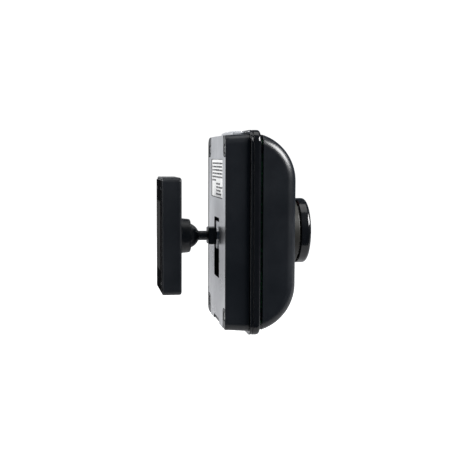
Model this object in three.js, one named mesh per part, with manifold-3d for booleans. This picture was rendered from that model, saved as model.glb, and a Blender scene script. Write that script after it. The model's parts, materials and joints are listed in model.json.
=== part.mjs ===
// Dash or windscreen radar detector on an adhesive ball mount.
// Millimetres. +Z is up, the front faces -Y, and the origin is the centre of the adhesive face.

import * as THREE from 'three';
import { mergeVertices } from 'three/addons/utils/BufferGeometryUtils.js';
import Module from 'manifold-3d';

const wasm = await Module();
wasm.setup();

// ---------------------------------------------------------------- driving dimensions

const FIT = 0.3;                 // clearance between pieces that meet
const RUN = 0.35;                // clearance around pieces that move
const PAST = 1;                  // how far a cutting solid runs past the face it opens
const FACETS = 16;               // sides of a small round piece
const FINE_FACETS = 28;          // sides of a large round piece
const HEAD_FACETS = 12;          // sides of a screw head
const BORE_FACETS = 8;           // sides of a screw's shank and its bore

// detector body
const BODY_W = 68.4;
const BODY_H = 106.4;
const BODY_CORNER = 5;
const SHELL_DEPTH = 13.3;
const SHELL_DRAFT = 0.6;
const BAND_DEPTH = 5.7;
const BAND_PROUD = 2;
const BAND_EDGE = 0.9;
const COVER_DEPTH = 20;
const COVER_ARC = 26;
const COVER_EDGE = 4.5;
const COVER_SKIRT = 12;          // the cover's straight outline, behind its back edge
const COVER_STEP = 0.9;          // the cover's screw posts start this far in front of the band
const WALL = 2;
const CORNER_EASE = 1;           // an inner corner's radius is this much under the outer one
const OPENING_CORNER = 1;
const STAMPED_CORNER = 0.8;

// silver back plate and what shows through it
const PLATE_T = 0.8;
const PLATE_INSET = 0.3;
const NOTCH_W = 10;
const NOTCH_H = 11.6;
const NOTCH_ROUND = 3.5;
const LABEL_W = 42;
const LABEL_H = 21;
const LABEL_T = 0.2;
const LABEL_DROP = 13;
const WINDOW_W = 18.8;
const WINDOW_H = 34.5;
const WINDOW_RISE = 11.2;         // window's top edge above the mount axis
const SOCKET_SLOT_W = 20;
const SOCKET_SLOT_H = 2.6;
const SCREW_DROP = 7.3;          // screw centres below the plate's top edge

// fasteners
const SCREW_HEAD_R = 2.6;
const SCREW_HEAD_T = 1.2;
const SCREW_SHANK_R = 1.4;
const SCREW_LENGTH = 13;
const SCREW_SINK = 0.3;
const SCREW_TIP_ROOM = 2;        // free bore past a screw's end
const SMALL_HEAD_R = 1.9;
const SMALL_HEAD_T = 1;
const SMALL_SHANK_R = 1;
const POST_WALL = 1.2;
const CROSS_WIDTH = 0.44;        // a screw's cross slot, as shares of its head's radius
const CROSS_SPAN = 1.2;

// hook on the arm and its keeper in the body
const AXIS_DROP = 3.5;           // the mount axis lies this far below the body's centre
const KEEPER_H = 15.6;
const KEEPER_T = 1;
const KEEPER_LAP = 3;
const NECK_W = 5;
const HEAD_W = 15;
const HEAD_H = 14.6;
const HEAD_T = 1.8;
const HEAD_CORNER = 1.2;
const POCKET_DEPTH = 8;
const POCKET_WALL = 1.5;
const POCKET_CORNER = 2;

// ball mount
const PAD_W = 24;
const PAD_H = 38;
const PAD_T = 0.9;
const PAD_PROUD = 0.3;
const PAD_CORNER = 1.2;
const BASE_W = 35;
const BASE_H = 64.4;
const BASE_RISE = 0.8;           // base's centre above the mount axis
const BASE_T = 10.5;
const BASE_CORNER = 2.5;
const BASE_EDGE = 1.2;
const BASE_WALL = 2;
const BACK_INSET = 1.2;
const BACK_T = 1.9;
const BACK_PROUD = 0.6;
const BACK_CORNER = 1.5;
const BASE_SCREW_X = 11.6;
const BASE_SCREW_Z = 26;
const BASE_SCREW_SINK = 0.1;
const BASE_SCREW_STOP = 2.5;     // base's front face to a screw's end, less the sink
const BALL_R = 7.2;
const BALL_AHEAD = 4.3;          // ball centre in front of the base's face
const LIP_AHEAD = 2;             // collar lip in front of the ball centre
const COLLAR_WALL = 1.2;
const COLLAR_TAPER = 0.5;
const COLLAR_BEVEL = 0.8;
const LIP_GAP = 0.2;
const SOCKET_WALL = 0.6;
const CUP_T = 0.6;
const CUP_ANGLE = 28;
const FRICTION_PAD_ANGLE = 22;
const STEM_R = 2.65;
const STEM_REACH = 12;           // ball centre to the block
const BLOCK_SIZE = 9.5;
const BLOCK_LENGTH = 5;
const BLOCK_EDGE = 0.5;
const BLOCK_CORNER = 0.8;
const STEM_SEAT = 3;
const SEAT_STEP = 0.5;           // shoulder where the stem enters the block

// dial on the front
const DIAL_DROP = 1;
const DIAL_R = 18.5;
const DIAL_H = 5.7;
const DIAL_EDGE = 2;
const DIAL_SKIRT = 2;
const DIAL_GROOVE = 0.9;
const DIAL_PUSH = 0.6;
const RING_MOUNT_H = 5.2;        // fixed collar under the dial
const RING_MOUNT_WALL = 3;
const RING_MOUNT_EDGE = 0.5;
const CAP_R = 13;
const CAP_T = 1.2;
const CAP_DOME = 0.5;
const HUB_WALL = 1.6;
const SHAFT_R = 3;
const SHAFT_ROOM = 1.5;          // gap around the shaft in the cover
const ENCODER_SIZE = 12.4;
const ENCODER_T = 7;
const ENCODER_SEAT = 3.85;       // how far the shaft's end lies inside the encoder

// keys on the top
const KEY_COUNT = 3;
const KEY_W = 10.6;
const KEY_D = 4.4;
const KEY_GAP = 1.6;
const KEY_PROUD = 1.8;
const KEY_TRAVEL = 0.6;
const KEY_STEM = 2.4;
const BEZEL_EDGE = 1.4;
const BEZEL_PROUD = 1.2;
const BEZEL_LAP = 1;
const BEZEL_FLANGE_T = 0.9;
const BEZEL_FLOOR = 1;           // floor of the key wells
const KEY_BOARD_DEPTH = 6.4;     // key board below the top face
const SWITCH_SIZE = 4.4;
const SWITCH_T = 1.6;
const KEY_BOARD_GAP = 5;         // screw post to the key board's end

// electronics
const BOARD_T = 1.6;
const BOARD_BACK = 19.4;         // back plate's face to the board's back
const BOARD_GAP = 1.5;           // board edge to the shell
const BOARD_CORNER = 2;
const HORN_W = 42;
const HORN_H = 24;
const HORN_WALL = 1.6;
const HORN_DEPTH = 14;
const HORN_GAP = 5.8;            // window's pocket to the horn
const HORN_FLOOR = 3;
const HORN_TAPER = 0.5;          // the throat is this much narrower than the mouth
const CAN_W = 20;
const CAN_H = 14;
const CAN_T = 3.2;
const CAN_GAP = 2;
const CAN_X = -14;
const CELL_R = 8;
const CELL_T = 4.2;
const CELL_X = -18;
const SPEAKER_R = 9;
const SPEAKER_T = 5.5;
const MAGNET_R = 5.5;
const MAGNET_T = 3;
const BASKET_SLOPE = 1.5;
const CONE_RIM = 1;
const CONE_DEPTH = 2.6;
const CONE_FLAT_R = 6.5;
const SPEAKER_DROP = 31.5;
const SPEAKER_STAND = 2.2;       // main board to the magnet
const GRILLE_SLOTS = 5;
const GRILLE_SLOT_H = 1.3;
const GRILLE_PITCH = 2.6;
const GRILLE_W = 15;
const GRILLE_CORNER = 0.6;
const ALERT_W = 30;
const ALERT_H = 4.6;
const ALERT_T = 1.6;
const ALERT_CORNER = 2;
const ALERT_RISE = 23;
const PIPE_INSET = 2;            // alert window's end to the light pipe's
const PIPE_GAP = 1;
const PIPE_DEPTH = 6.4;
const POWER_W = 9;
const POWER_H = 6.4;
const POWER_D = 3.6;
const POWER_BACK = 3.6;          // back plate's face to the socket's back
const POWER_WALL = 0.6;
const TONGUE_W = 5.2;
const TONGUE_INSET = 1.5;
const POWER_BOARD_W = 22;
const POWER_BOARD_H = 14.5;
const POWER_BOARD_T = 1.2;

// ---------------------------------------------------------------- derived places

const BASE_BACK_Y = -BACK_PROUD - PAD_PROUD;
const BASE_FRONT_Y = BASE_BACK_Y - BASE_T;
const AXIS_Z = -BASE_RISE;
const SOCKET_R = BALL_R + 2 * FIT + SOCKET_WALL;
const COLLAR_R = SOCKET_R + FIT + COLLAR_WALL;
const COLLAR_NOSE_R = COLLAR_R - COLLAR_TAPER;
const CUP_INNER_R = BALL_R + 2 * FIT + CUP_T + FIT;
const CAVITY_R = CUP_INNER_R + CUP_T + FIT;
const BALL_Y = BASE_FRONT_Y - BALL_AHEAD;
const BLOCK_Y = BALL_Y - STEM_REACH;
const PLATE_Y = BLOCK_Y - BLOCK_LENGTH;

// in the body's own frame, whose origin is the centre of the back plate's outer face
const SHELL_BACK_Y = -PLATE_T - FIT;
const BAND_Y = -SHELL_DEPTH;
const COVER_Y = BAND_Y - BAND_DEPTH;
const FRONT_Y = COVER_Y - COVER_DEPTH;
const BACK_W = BODY_W - 2 * SHELL_DRAFT;
const BACK_H = BODY_H - 2 * SHELL_DRAFT;
const PLATE_TOP = BACK_H / 2 - PLATE_INSET;
const WINDOW_TOP = WINDOW_RISE - AXIS_DROP;
const WINDOW_Z = WINDOW_TOP - WINDOW_H / 2;
const HORN_Z = WINDOW_TOP + POCKET_WALL + HORN_GAP + HORN_H / 2;
const LABEL_Z = PLATE_TOP - LABEL_DROP - LABEL_H / 2;
const BOARD_Y = -BOARD_BACK;
const BOARD_FRONT_Y = BOARD_Y - BOARD_T;
const SCREW_X = BACK_W / 2 - PLATE_INSET - NOTCH_W / 2;
const SCREW_Z = PLATE_TOP - SCREW_DROP;
const POST_R = SCREW_SHANK_R + FIT + POST_WALL;
const DIAL_BACK_Y = FRONT_Y - FIT - RING_MOUNT_H - DIAL_GROOVE;
const DIAL_FRONT_Y = DIAL_BACK_Y - DIAL_H;
const BEZEL_W = KEY_COUNT * KEY_W + (KEY_COUNT - 1) * KEY_GAP + 2 * BEZEL_EDGE;
const BEZEL_D = KEY_D + 2 * BEZEL_EDGE;
const KEY_Y = BAND_Y + FIT + BEZEL_D / 2;
const TOP_Z = BODY_H / 2;
const CORNERS = [[1, 1], [-1, 1], [-1, -1], [1, -1]];

// ---------------------------------------------------------------- materials

function finish(color, roughness, metalness) {
  return new THREE.MeshStandardMaterial({ color, roughness, metalness });
}

const blackPlastic = () => finish(0x16181c, 0.42, 0);
const glossBlack = () => finish(0x0b0c0e, 0.15, 0);
const silver = () => finish(0xb9bbbd, 0.35, 0.85);
const steel = () => finish(0xc9cbce, 0.28, 1);
const rubber = () => finish(0x111111, 0.9, 0);
const boardGreen = () => finish(0x1c5a34, 0.5, 0);
const paper = () => finish(0xf2f2ee, 0.7, 0);
const smoked = () => finish(0x0a0a0c, 0.05, 0);
const clearPlastic = () => finish(0xd8dde0, 0.1, 0);
const castMetal = () => finish(0x9b9d9f, 0.5, 0.9);

// ---------------------------------------------------------------- solids

function solid(geometry) {
  const bare = geometry.clone();
  bare.deleteAttribute('normal');
  bare.deleteAttribute('uv');
  const merged = mergeVertices(bare, 1e-4);
  const index = merged.index.array;
  const triangles = [];
  for (let i = 0; i < index.length; i += 3) {
    const [a, b, c] = [index[i], index[i + 1], index[i + 2]];
    if (a !== b && b !== c && c !== a) triangles.push(a, b, c);
  }
  const vertProperties = new Float32Array(merged.attributes.position.array);
  if (signedVolume(vertProperties, triangles) < 0) triangles.reverse();
  const triVerts = new Uint32Array(triangles);
  return new wasm.Manifold(new wasm.Mesh({ numProp: 3, vertProperties, triVerts }));
}

function signedVolume(points, triangles) {
  const corner = (i) => new THREE.Vector3().fromArray(points, 3 * triangles[i]);
  let sum = 0;
  for (let i = 0; i < triangles.length; i += 3) {
    sum += corner(i).dot(corner(i + 1).cross(corner(i + 2)));
  }
  return sum / 6;
}

const cut = (body, ...tools) => tools.reduce((left, tool) => left.subtract(tool), body);
const join = (body, ...more) => more.reduce((left, piece) => left.add(piece), body);

function piece(name, body, material) {
  const { vertProperties, triVerts } = body.getMesh();
  const geometry = new THREE.BufferGeometry();
  geometry.setAttribute('position', new THREE.BufferAttribute(vertProperties, 3));
  geometry.setIndex(new THREE.BufferAttribute(triVerts, 1));
  geometry.computeVertexNormals();
  const mesh = new THREE.Mesh(geometry, material);
  mesh.name = name;
  return mesh;
}

// a box between two corners
function block(x0, x1, y0, y1, z0, z1) {
  const geometry = new THREE.BoxGeometry(Math.abs(x1 - x0), Math.abs(y1 - y0), Math.abs(z1 - z0));
  geometry.translate((x0 + x1) / 2, (y0 + y1) / 2, (z0 + z1) / 2);
  return solid(geometry);
}

// a rod along Y between two stations
function rod(radius, y0, y1, x = 0, z = 0, sides = FACETS) {
  const geometry = new THREE.CylinderGeometry(radius, radius, Math.abs(y1 - y0), sides);
  geometry.translate(x, (y0 + y1) / 2, z);
  return solid(geometry);
}

// a solid of revolution about the Y axis; each point is [radius, y]
function turned(points, sides = FACETS, z = 0) {
  const geometry = new THREE.LatheGeometry(points.map(([r, y]) => new THREE.Vector2(r, y)), sides);
  geometry.translate(0, 0, z);
  return solid(geometry);
}

// points on an arc about [0, centre], from one polar angle to another, in degrees from +Y
function polarArc(radius, centre, from, to, steps) {
  return Array.from({ length: steps + 1 }, (_, i) => {
    const angle = THREE.MathUtils.degToRad(from + (to - from) * i / steps);
    return [Math.max(0, radius * Math.sin(angle)), centre + radius * Math.cos(angle)];
  });
}

function roundedRect(width, height, radius, cx = 0, cy = 0) {
  const [x, y] = [width / 2 - radius, height / 2 - radius];
  const shape = new THREE.Shape();
  shape.absarc(cx + x, cy + y, radius, 0, Math.PI / 2);
  shape.absarc(cx - x, cy + y, radius, Math.PI / 2, Math.PI);
  shape.absarc(cx - x, cy - y, radius, Math.PI, 1.5 * Math.PI);
  shape.absarc(cx + x, cy - y, radius, 1.5 * Math.PI, 2 * Math.PI);
  shape.closePath();
  return shape;
}

// an outline in X and Z, given its thickness from back towards the front, with an optional edge round
function slab(shape, back, front, edge = 0, segments = 2) {
  const geometry = new THREE.ExtrudeGeometry(shape, {
    depth: back - front - 2 * edge,
    curveSegments: 3,
    bevelEnabled: edge > 0,
    bevelThickness: edge,
    bevelSize: edge,
    bevelOffset: -edge,
    bevelSegments: segments,
  });
  geometry.rotateX(Math.PI / 2);
  geometry.translate(0, back - edge, 0);
  return geometry;
}

// widens a slab from its back outline to its front outline
function drafted(geometry, back, front, growX, growZ) {
  const place = geometry.attributes.position;
  for (let i = 0; i < place.count; i += 1) {
    const share = (back - place.getY(i)) / (back - front);
    place.setX(i, place.getX(i) * (1 + growX * share));
    place.setZ(i, place.getZ(i) * (1 + growZ * share));
  }
  return geometry;
}

// ---------------------------------------------------------------- fasteners

function screw(name, headR, headT, shankR, length, x, back, z) {
  const body = join(
    rod(headR, back, back - headT, x, z, HEAD_FACETS),
    rod(shankR, back - headT / 2, back - length, x, z, BORE_FACETS),
  );
  const half = headR * CROSS_WIDTH / 2;
  const reach = headR * CROSS_SPAN / 2;
  const depth = headT / 2;
  return piece(name, cut(
    body,
    block(x - reach, x + reach, back + PAST, back - depth, z - half, z + half),
    block(x - half, x + half, back + PAST, back - depth, z - reach, z + reach),
  ), steel());
}

// the hole that takes a screw: a counterbore and a clearance bore
function screwHole(headR, shankR, x, z, top, seat, end) {
  return join(
    rod(headR + FIT, top, seat, x, z, HEAD_FACETS),
    rod(shankR + FIT, top, end, x, z, BORE_FACETS),
  );
}

// ---------------------------------------------------------------- body casing

// the front cover's side outline, grown or shrunk, as [depth forward, height]
function coverOutline(inset, reachBack) {
  const radius = COVER_ARC - inset;
  const half = BODY_H / 2 - inset;
  const start = Math.asin((COVER_ARC - COVER_DEPTH) / COVER_ARC);
  const centreZ = BODY_H / 2 - COVER_ARC * Math.cos(start);
  const centreD = COVER_DEPTH - COVER_ARC;
  const top = Math.acos(Math.min(1, -centreD / radius));
  const shape = new THREE.Shape();
  shape.moveTo(-reachBack, half);
  shape.lineTo(-reachBack, -half);
  shape.absarc(centreD, -centreZ, radius, -top, 0);
  shape.absarc(centreD, centreZ, radius, 0, top);
  shape.closePath();
  return shape;
}

function coverSolid(inset) {
  const edge = COVER_EDGE - inset / 2;
  const width = BODY_W - 2 * inset;
  const geometry = new THREE.ExtrudeGeometry(coverOutline(inset, COVER_SKIRT), {
    depth: width - 2 * edge,
    curveSegments: 7,
    bevelEnabled: true,
    bevelThickness: edge,
    bevelSize: edge,
    bevelOffset: -edge,
    bevelSegments: 3,
  });
  geometry.translate(0, 0, edge - width / 2);
  geometry.applyMatrix4(new THREE.Matrix4().makeBasis(
    new THREE.Vector3(0, -1, 0),
    new THREE.Vector3(0, 0, 1),
    new THREE.Vector3(-1, 0, 0),
  ));
  geometry.translate(0, COVER_Y, 0);
  const corner = BODY_CORNER - inset / 2;
  const outline = roundedRect(width, BODY_H - 2 * inset, corner);
  const back = inset > 0 ? COVER_Y + PAST : COVER_Y - FIT;
  return solid(geometry).intersect(solid(slab(outline, back, FRONT_Y - PAST)));
}

function frontCover() {
  let body = cut(coverSolid(0), coverSolid(WALL));
  const behind = roundedRect(BODY_W, BODY_H, BODY_CORNER);
  const postRoom = join(coverSolid(WALL / 2), solid(slab(behind, 0, COVER_Y + COVER_STEP)));
  const boreEnd = -SCREW_SINK - SCREW_LENGTH - SCREW_TIP_ROOM;
  for (const [sx, sz] of CORNERS) {
    const [x, z] = [sx * SCREW_X, sz * SCREW_Z];
    const post = rod(POST_R, SHELL_BACK_Y - WALL - FIT, FRONT_Y, x, z, BORE_FACETS);
    body = join(body, post.intersect(postRoom));
    body = cut(body, rod(SCREW_SHANK_R + FIT, 0, boreEnd, x, z, BORE_FACETS));
  }
  body = cut(body, rod(SHAFT_R + SHAFT_ROOM, COVER_Y, FRONT_Y - PAST, 0, -DIAL_DROP));
  const alert = roundedRect(ALERT_W, ALERT_H, ALERT_CORNER, 0, ALERT_RISE);
  body = cut(body, solid(slab(alert, COVER_Y, FRONT_Y - PAST)));
  for (let i = 0; i < GRILLE_SLOTS; i += 1) {
    const z = -SPEAKER_DROP + (i - (GRILLE_SLOTS - 1) / 2) * GRILLE_PITCH;
    const slot = roundedRect(GRILLE_W, GRILLE_SLOT_H, GRILLE_CORNER, 0, z);
    body = cut(body, solid(slab(slot, COVER_Y - WALL, FRONT_Y - PAST)));
  }
  return piece('front_cover', body, blackPlastic());
}

function trimBand() {
  const outer = slab(
    roundedRect(BODY_W + 2 * BAND_PROUD, BODY_H + 2 * BAND_PROUD, BODY_CORNER + BAND_PROUD),
    BAND_Y, COVER_Y, BAND_EDGE,
  );
  const inner = roundedRect(BODY_W - 2 * WALL, BODY_H - 2 * WALL, BODY_CORNER - CORNER_EASE);
  const bore = solid(slab(inner, BAND_Y + PAST, COVER_Y - PAST));
  return piece('trim_band', cut(solid(outer), bore), glossBlack());
}

// the raised pad that fills one notch of the back plate
function cornerPad(sx, sz) {
  const x = sx * (BACK_W / 2 - PLATE_INSET);
  const z = sz * PLATE_TOP;
  const w = NOTCH_W - FIT;
  const h = NOTCH_H - FIT;
  const outline = roundedRect(2 * w, 2 * h, NOTCH_ROUND, x, z);
  const face = roundedRect(BACK_W - 2 * PLATE_INSET, 2 * PLATE_TOP, BODY_CORNER - PLATE_INSET);
  const root = SHELL_BACK_Y - WALL / 2;
  return solid(slab(outline, -FIT, root)).intersect(solid(slab(face, 0, root)));
}

function rearShell() {
  const grow = SHELL_DRAFT * 2;
  const front = BAND_Y + FIT;
  const outer = slab(roundedRect(BACK_W, BACK_H, BODY_CORNER), SHELL_BACK_Y, front);
  drafted(outer, SHELL_BACK_Y, front, grow / BACK_W, grow / BACK_H);
  const bore = roundedRect(BACK_W - 2 * WALL, BACK_H - 2 * WALL, BODY_CORNER - CORNER_EASE);
  let body = cut(solid(outer), solid(slab(bore, SHELL_BACK_Y - WALL, front - PAST)));
  const [pocketW, pocketH] = [WINDOW_W + 2 * POCKET_WALL, WINDOW_H + 2 * POCKET_WALL];
  const pocket = roundedRect(pocketW, pocketH, POCKET_CORNER, 0, WINDOW_Z);
  body = join(body, solid(slab(pocket, SHELL_BACK_Y - WALL / 2, -POCKET_DEPTH - POCKET_WALL)));
  for (const [sx, sz] of CORNERS) {
    body = join(body, cornerPad(sx, sz));
    body = cut(body, screwHole(
      SCREW_HEAD_R, SCREW_SHANK_R, sx * SCREW_X, sz * SCREW_Z,
      PAST, -SCREW_SINK - SCREW_HEAD_T - FIT, SHELL_BACK_Y - WALL - PAST,
    ));
  }
  const windowCut = roundedRect(WINDOW_W, WINDOW_H, OPENING_CORNER, 0, WINDOW_Z);
  body = cut(body, solid(slab(windowCut, PAST, -POCKET_DEPTH)));
  const seatX = WINDOW_W / 2 + KEEPER_LAP + FIT;
  const seatY = SHELL_BACK_Y - KEEPER_T - FIT;
  const seatZ = KEEPER_H / 2 + FIT;
  body = cut(body, block(-seatX, seatX, PAST, seatY, -AXIS_DROP - seatZ, -AXIS_DROP + seatZ));
  const keysX = BEZEL_W / 2 + FIT;
  const keysBack = KEY_Y + BEZEL_D / 2 + FIT;
  body = cut(body, block(-keysX, keysX, front - PAST, keysBack, TOP_Z - 2 * WALL, TOP_Z + PAST));
  const powerX = POWER_W / 2 + FIT;
  const [powerBack, powerFront] = [-POWER_BACK + FIT, -POWER_BACK - POWER_D - FIT];
  body = cut(body, block(-powerX, powerX, powerBack, powerFront, -TOP_Z + 2 * WALL, -TOP_Z - PAST));
  return piece('rear_shell', body, blackPlastic());
}

function backPlate() {
  const w = BACK_W - 2 * PLATE_INSET;
  const h = BACK_H - 2 * PLATE_INSET;
  let body = solid(slab(roundedRect(w, h, BODY_CORNER - PLATE_INSET), 0, -PLATE_T));
  for (const [sx, sz] of CORNERS) {
    const notch = roundedRect(2 * NOTCH_W, 2 * NOTCH_H, NOTCH_ROUND, sx * w / 2, sz * h / 2);
    body = cut(body, solid(slab(notch, PAST, -PLATE_T - PAST)));
  }
  const openings = [
    roundedRect(WINDOW_W, WINDOW_H, OPENING_CORNER, 0, WINDOW_Z),
    roundedRect(LABEL_W + 2 * FIT, LABEL_H + 2 * FIT, STAMPED_CORNER, 0, LABEL_Z),
    roundedRect(SOCKET_SLOT_W, 2 * SOCKET_SLOT_H, STAMPED_CORNER, 0, -h / 2),
  ];
  for (const opening of openings) body = cut(body, solid(slab(opening, PAST, -PLATE_T - PAST)));
  return piece('back_plate', body, silver());
}

function ratingLabel() {
  const back = SHELL_BACK_Y + FIT + LABEL_T;
  const outline = roundedRect(LABEL_W, LABEL_H, STAMPED_CORNER - FIT / 2, 0, LABEL_Z);
  return piece('rating_label', solid(slab(outline, back, back - LABEL_T)), paper());
}

function hookKeeper() {
  const outline = roundedRect(WINDOW_W + 2 * KEEPER_LAP, KEEPER_H, STAMPED_CORNER, 0, -AXIS_DROP);
  const plate = slab(outline, SHELL_BACK_Y, SHELL_BACK_Y - KEEPER_T);
  const slotHalf = NECK_W / 2 + RUN;
  const slot = block(
    -slotHalf, slotHalf, PAST, -POCKET_DEPTH, -AXIS_DROP - KEEPER_H, -AXIS_DROP + slotHalf,
  );
  return piece('hook_keeper', cut(solid(plate), slot), steel());
}

function casing() {
  const group = new THREE.Group();
  group.add(rearShell(), backPlate(), ratingLabel(), hookKeeper(), trimBand(), frontCover());
  CORNERS.forEach(([sx, sz], i) => {
    group.add(screw(
      `rear_screw_${i + 1}`, SCREW_HEAD_R, SCREW_HEAD_T, SCREW_SHANK_R, SCREW_LENGTH,
      sx * SCREW_X, -SCREW_SINK, sz * SCREW_Z,
    ));
  });
  return group;
}

// ---------------------------------------------------------------- dial

function dialCollar() {
  const y0 = FRONT_Y - FIT;
  const y1 = y0 - RING_MOUNT_H;
  const inner = DIAL_R - RING_MOUNT_WALL;
  return turned([
    [inner, y0], [DIAL_R, y0], [DIAL_R, y1 + RING_MOUNT_EDGE],
    [DIAL_R - RING_MOUNT_EDGE, y1], [inner, y1], [inner, y0],
  ], FINE_FACETS);
}

function dialRing() {
  const [y0, y1] = [DIAL_BACK_Y, DIAL_FRONT_Y];
  const inner = DIAL_R - DIAL_SKIRT;
  const web = y1 + CAP_T + CAP_DOME + FIT;
  const bore = SHAFT_R + FIT;
  const hub = bore + HUB_WALL;
  const hubEnd = y0 + DIAL_GROOVE - FIT;
  const floor = web + HUB_WALL;
  const arc = polarArc(DIAL_EDGE, y1 + DIAL_EDGE, 90, 180, 4);
  const edge = arc.map(([r, y]) => [r + DIAL_R - DIAL_EDGE, y]);
  return turned([
    [inner, y0], [DIAL_R, y0], ...edge, [CAP_R + FIT, y1], [CAP_R + FIT, web],
    [bore, web], [bore, hubEnd], [hub, hubEnd], [hub, floor], [inner, floor], [inner, y0],
  ], FINE_FACETS);
}

function dialCap() {
  const back = DIAL_FRONT_Y + CAP_T + CAP_DOME;
  const rim = DIAL_FRONT_Y + CAP_DOME;
  const crown = (r) => rim - CAP_DOME * (1 - (r / CAP_R) ** 2);
  const top = [1, 0.75, 0.5, 0.25, 0].map((share) => [share * CAP_R, crown(share * CAP_R)]);
  return turned([[0, back], [CAP_R, back], ...top], FINE_FACETS);
}

function dialGroup() {
  const group = new THREE.Group();
  group.position.z = -DIAL_DROP;
  const encoderBack = BOARD_FRONT_Y - FIT;
  const encoderFront = encoderBack - ENCODER_T;
  const half = ENCODER_SIZE / 2;
  const shaftEnd = encoderBack - ENCODER_T + ENCODER_SEAT;
  const shaftTip = DIAL_FRONT_Y + CAP_T + CAP_DOME + 2 * FIT;
  const encoder = cut(
    block(-half, half, encoderBack, encoderFront, -half, half),
    rod(SHAFT_R + RUN, shaftEnd + 2 * DIAL_PUSH, FRONT_Y),
  );
  group.add(
    piece('dial_collar', dialCollar(), blackPlastic()),
    piece('encoder_body', encoder, castMetal()),
    piece('encoder_shaft', rod(SHAFT_R, shaftEnd, shaftTip), steel()),
    piece('dial_ring', dialRing(), glossBlack()),
    piece('dial_cap', dialCap(), smoked()),
  );
  return group;
}

// ---------------------------------------------------------------- keys

function keyGroup() {
  const group = new THREE.Group();
  group.position.set(0, KEY_Y, TOP_Z);
  const keyX = (i) => (i - (KEY_COUNT - 1) / 2) * (KEY_W + KEY_GAP);
  const under = -WALL - 2 * FIT;
  const wellFloor = under + BEZEL_FLOOR + FIT;
  const [halfW, halfD] = [BEZEL_W / 2, BEZEL_D / 2];
  const lap = halfW + BEZEL_LAP;
  let bezel = join(
    block(-halfW, halfW, -halfD, halfD, under - FIT, BEZEL_PROUD),
    block(-lap, lap, -halfD, halfD, under - BEZEL_FLANGE_T, under),
  );
  const stem = KEY_STEM / 2;
  const stemR = stem + RUN;
  const boardTop = -KEY_BOARD_DEPTH;
  const foot = boardTop + SWITCH_T + KEY_TRAVEL + FIT;
  const switchHalf = SWITCH_SIZE / 2;
  for (let i = 0; i < KEY_COUNT; i += 1) {
    const x = keyX(i);
    const [w, d] = [KEY_W / 2 + RUN, KEY_D / 2 + RUN];
    bezel = cut(bezel, block(x - w, x + w, -d, d, wellFloor, BEZEL_PROUD + PAST));
    bezel = cut(bezel, block(x - stemR, x + stemR, -stemR, stemR, boardTop, BEZEL_PROUD + PAST));
    const key = join(
      block(x - w + RUN, x + w - RUN, -d + RUN, d - RUN, wellFloor + KEY_TRAVEL + FIT, KEY_PROUD),
      block(x - stem, x + stem, -stem, stem, foot, 0),
    );
    group.add(piece(`key_${i + 1}`, key, silver()));
    group.add(piece(`key_switch_${i + 1}`, block(
      x - switchHalf, x + switchHalf, -switchHalf, switchHalf, boardTop + FIT / 3, boardTop + SWITCH_T,
    ), rubber()));
  }
  const boardHalf = SCREW_X - POST_R - KEY_BOARD_GAP;
  const board = block(-boardHalf, boardHalf, -halfD, halfD, boardTop - POWER_BOARD_T, boardTop);
  group.add(piece('key_bezel', bezel, silver()), piece('key_board', board, boardGreen()));
  return group;
}

// ---------------------------------------------------------------- electronics

function mainBoard() {
  const w = BODY_W - 2 * WALL - 2 * BOARD_GAP;
  const h = BODY_H - 2 * WALL - 2 * BOARD_GAP;
  let body = solid(slab(roundedRect(w, h, BOARD_CORNER), BOARD_Y, BOARD_FRONT_Y));
  for (const [sx, sz] of CORNERS) {
    body = cut(body, rod(POST_R + FIT, 0, FRONT_Y, sx * SCREW_X, sz * SCREW_Z));
  }
  return piece('main_board', body, boardGreen());
}

function antennaHorn() {
  const front = BOARD_Y + FIT;
  const back = front + HORN_DEPTH;
  const [halfW, halfH] = [HORN_W / 2, HORN_H / 2];
  const outer = block(-halfW, halfW, front, back, HORN_Z - halfH, HORN_Z + halfH);
  const floor = front + HORN_FLOOR;
  const outline = roundedRect(HORN_W - 2 * HORN_WALL, HORN_H - 2 * HORN_WALL, OPENING_CORNER);
  const mouth = slab(outline, back + FIT / 10, floor);
  drafted(mouth, back, floor, -HORN_TAPER, -HORN_TAPER);
  mouth.translate(0, 0, HORN_Z);
  return piece('antenna_horn', cut(outer, solid(mouth)), castMetal());
}

function speaker() {
  const back = BOARD_FRONT_Y - SPEAKER_STAND;
  const magnetFront = back - MAGNET_T;
  const front = magnetFront - SPEAKER_T;
  const shape = [
    [0, back], [MAGNET_R, back], [MAGNET_R, magnetFront], [SPEAKER_R, magnetFront - BASKET_SLOPE],
    [SPEAKER_R, front], [SPEAKER_R - CONE_RIM, front],
    [CONE_FLAT_R, front + CONE_DEPTH - CONE_RIM], [0, front + CONE_DEPTH],
  ];
  const mesh = piece('speaker', turned(shape, FACETS), blackPlastic());
  mesh.position.z = -SPEAKER_DROP;
  return mesh;
}

function powerSocket() {
  const mouth = -TOP_Z + WALL / 2;
  const top = mouth + POWER_H;
  const floor = top - 2 * POWER_WALL;
  const halfW = POWER_W / 2;
  const bore = halfW - POWER_WALL;
  const [y0, y1] = [-POWER_BACK, -POWER_BACK - POWER_D];
  const shell = cut(
    block(-halfW, halfW, y0, y1, mouth, top),
    block(-bore, bore, y0 - POWER_WALL, y1 + POWER_WALL, mouth - PAST, floor),
  );
  const tongue = block(
    -TONGUE_W / 2, TONGUE_W / 2, y0 - TONGUE_INSET, y1 + TONGUE_INSET, mouth + POWER_WALL, floor + POWER_WALL,
  );
  const boardBack = y1 - FIT;
  const boardFoot = -TOP_Z + WALL + TONGUE_INSET;
  const board = block(
    -POWER_BOARD_W / 2, POWER_BOARD_W / 2, boardBack, boardBack - POWER_BOARD_T,
    boardFoot, boardFoot + POWER_BOARD_H,
  );
  return [
    piece('power_socket', join(shell, tongue), steel()),
    piece('power_board', board, boardGreen()),
  ];
}

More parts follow.
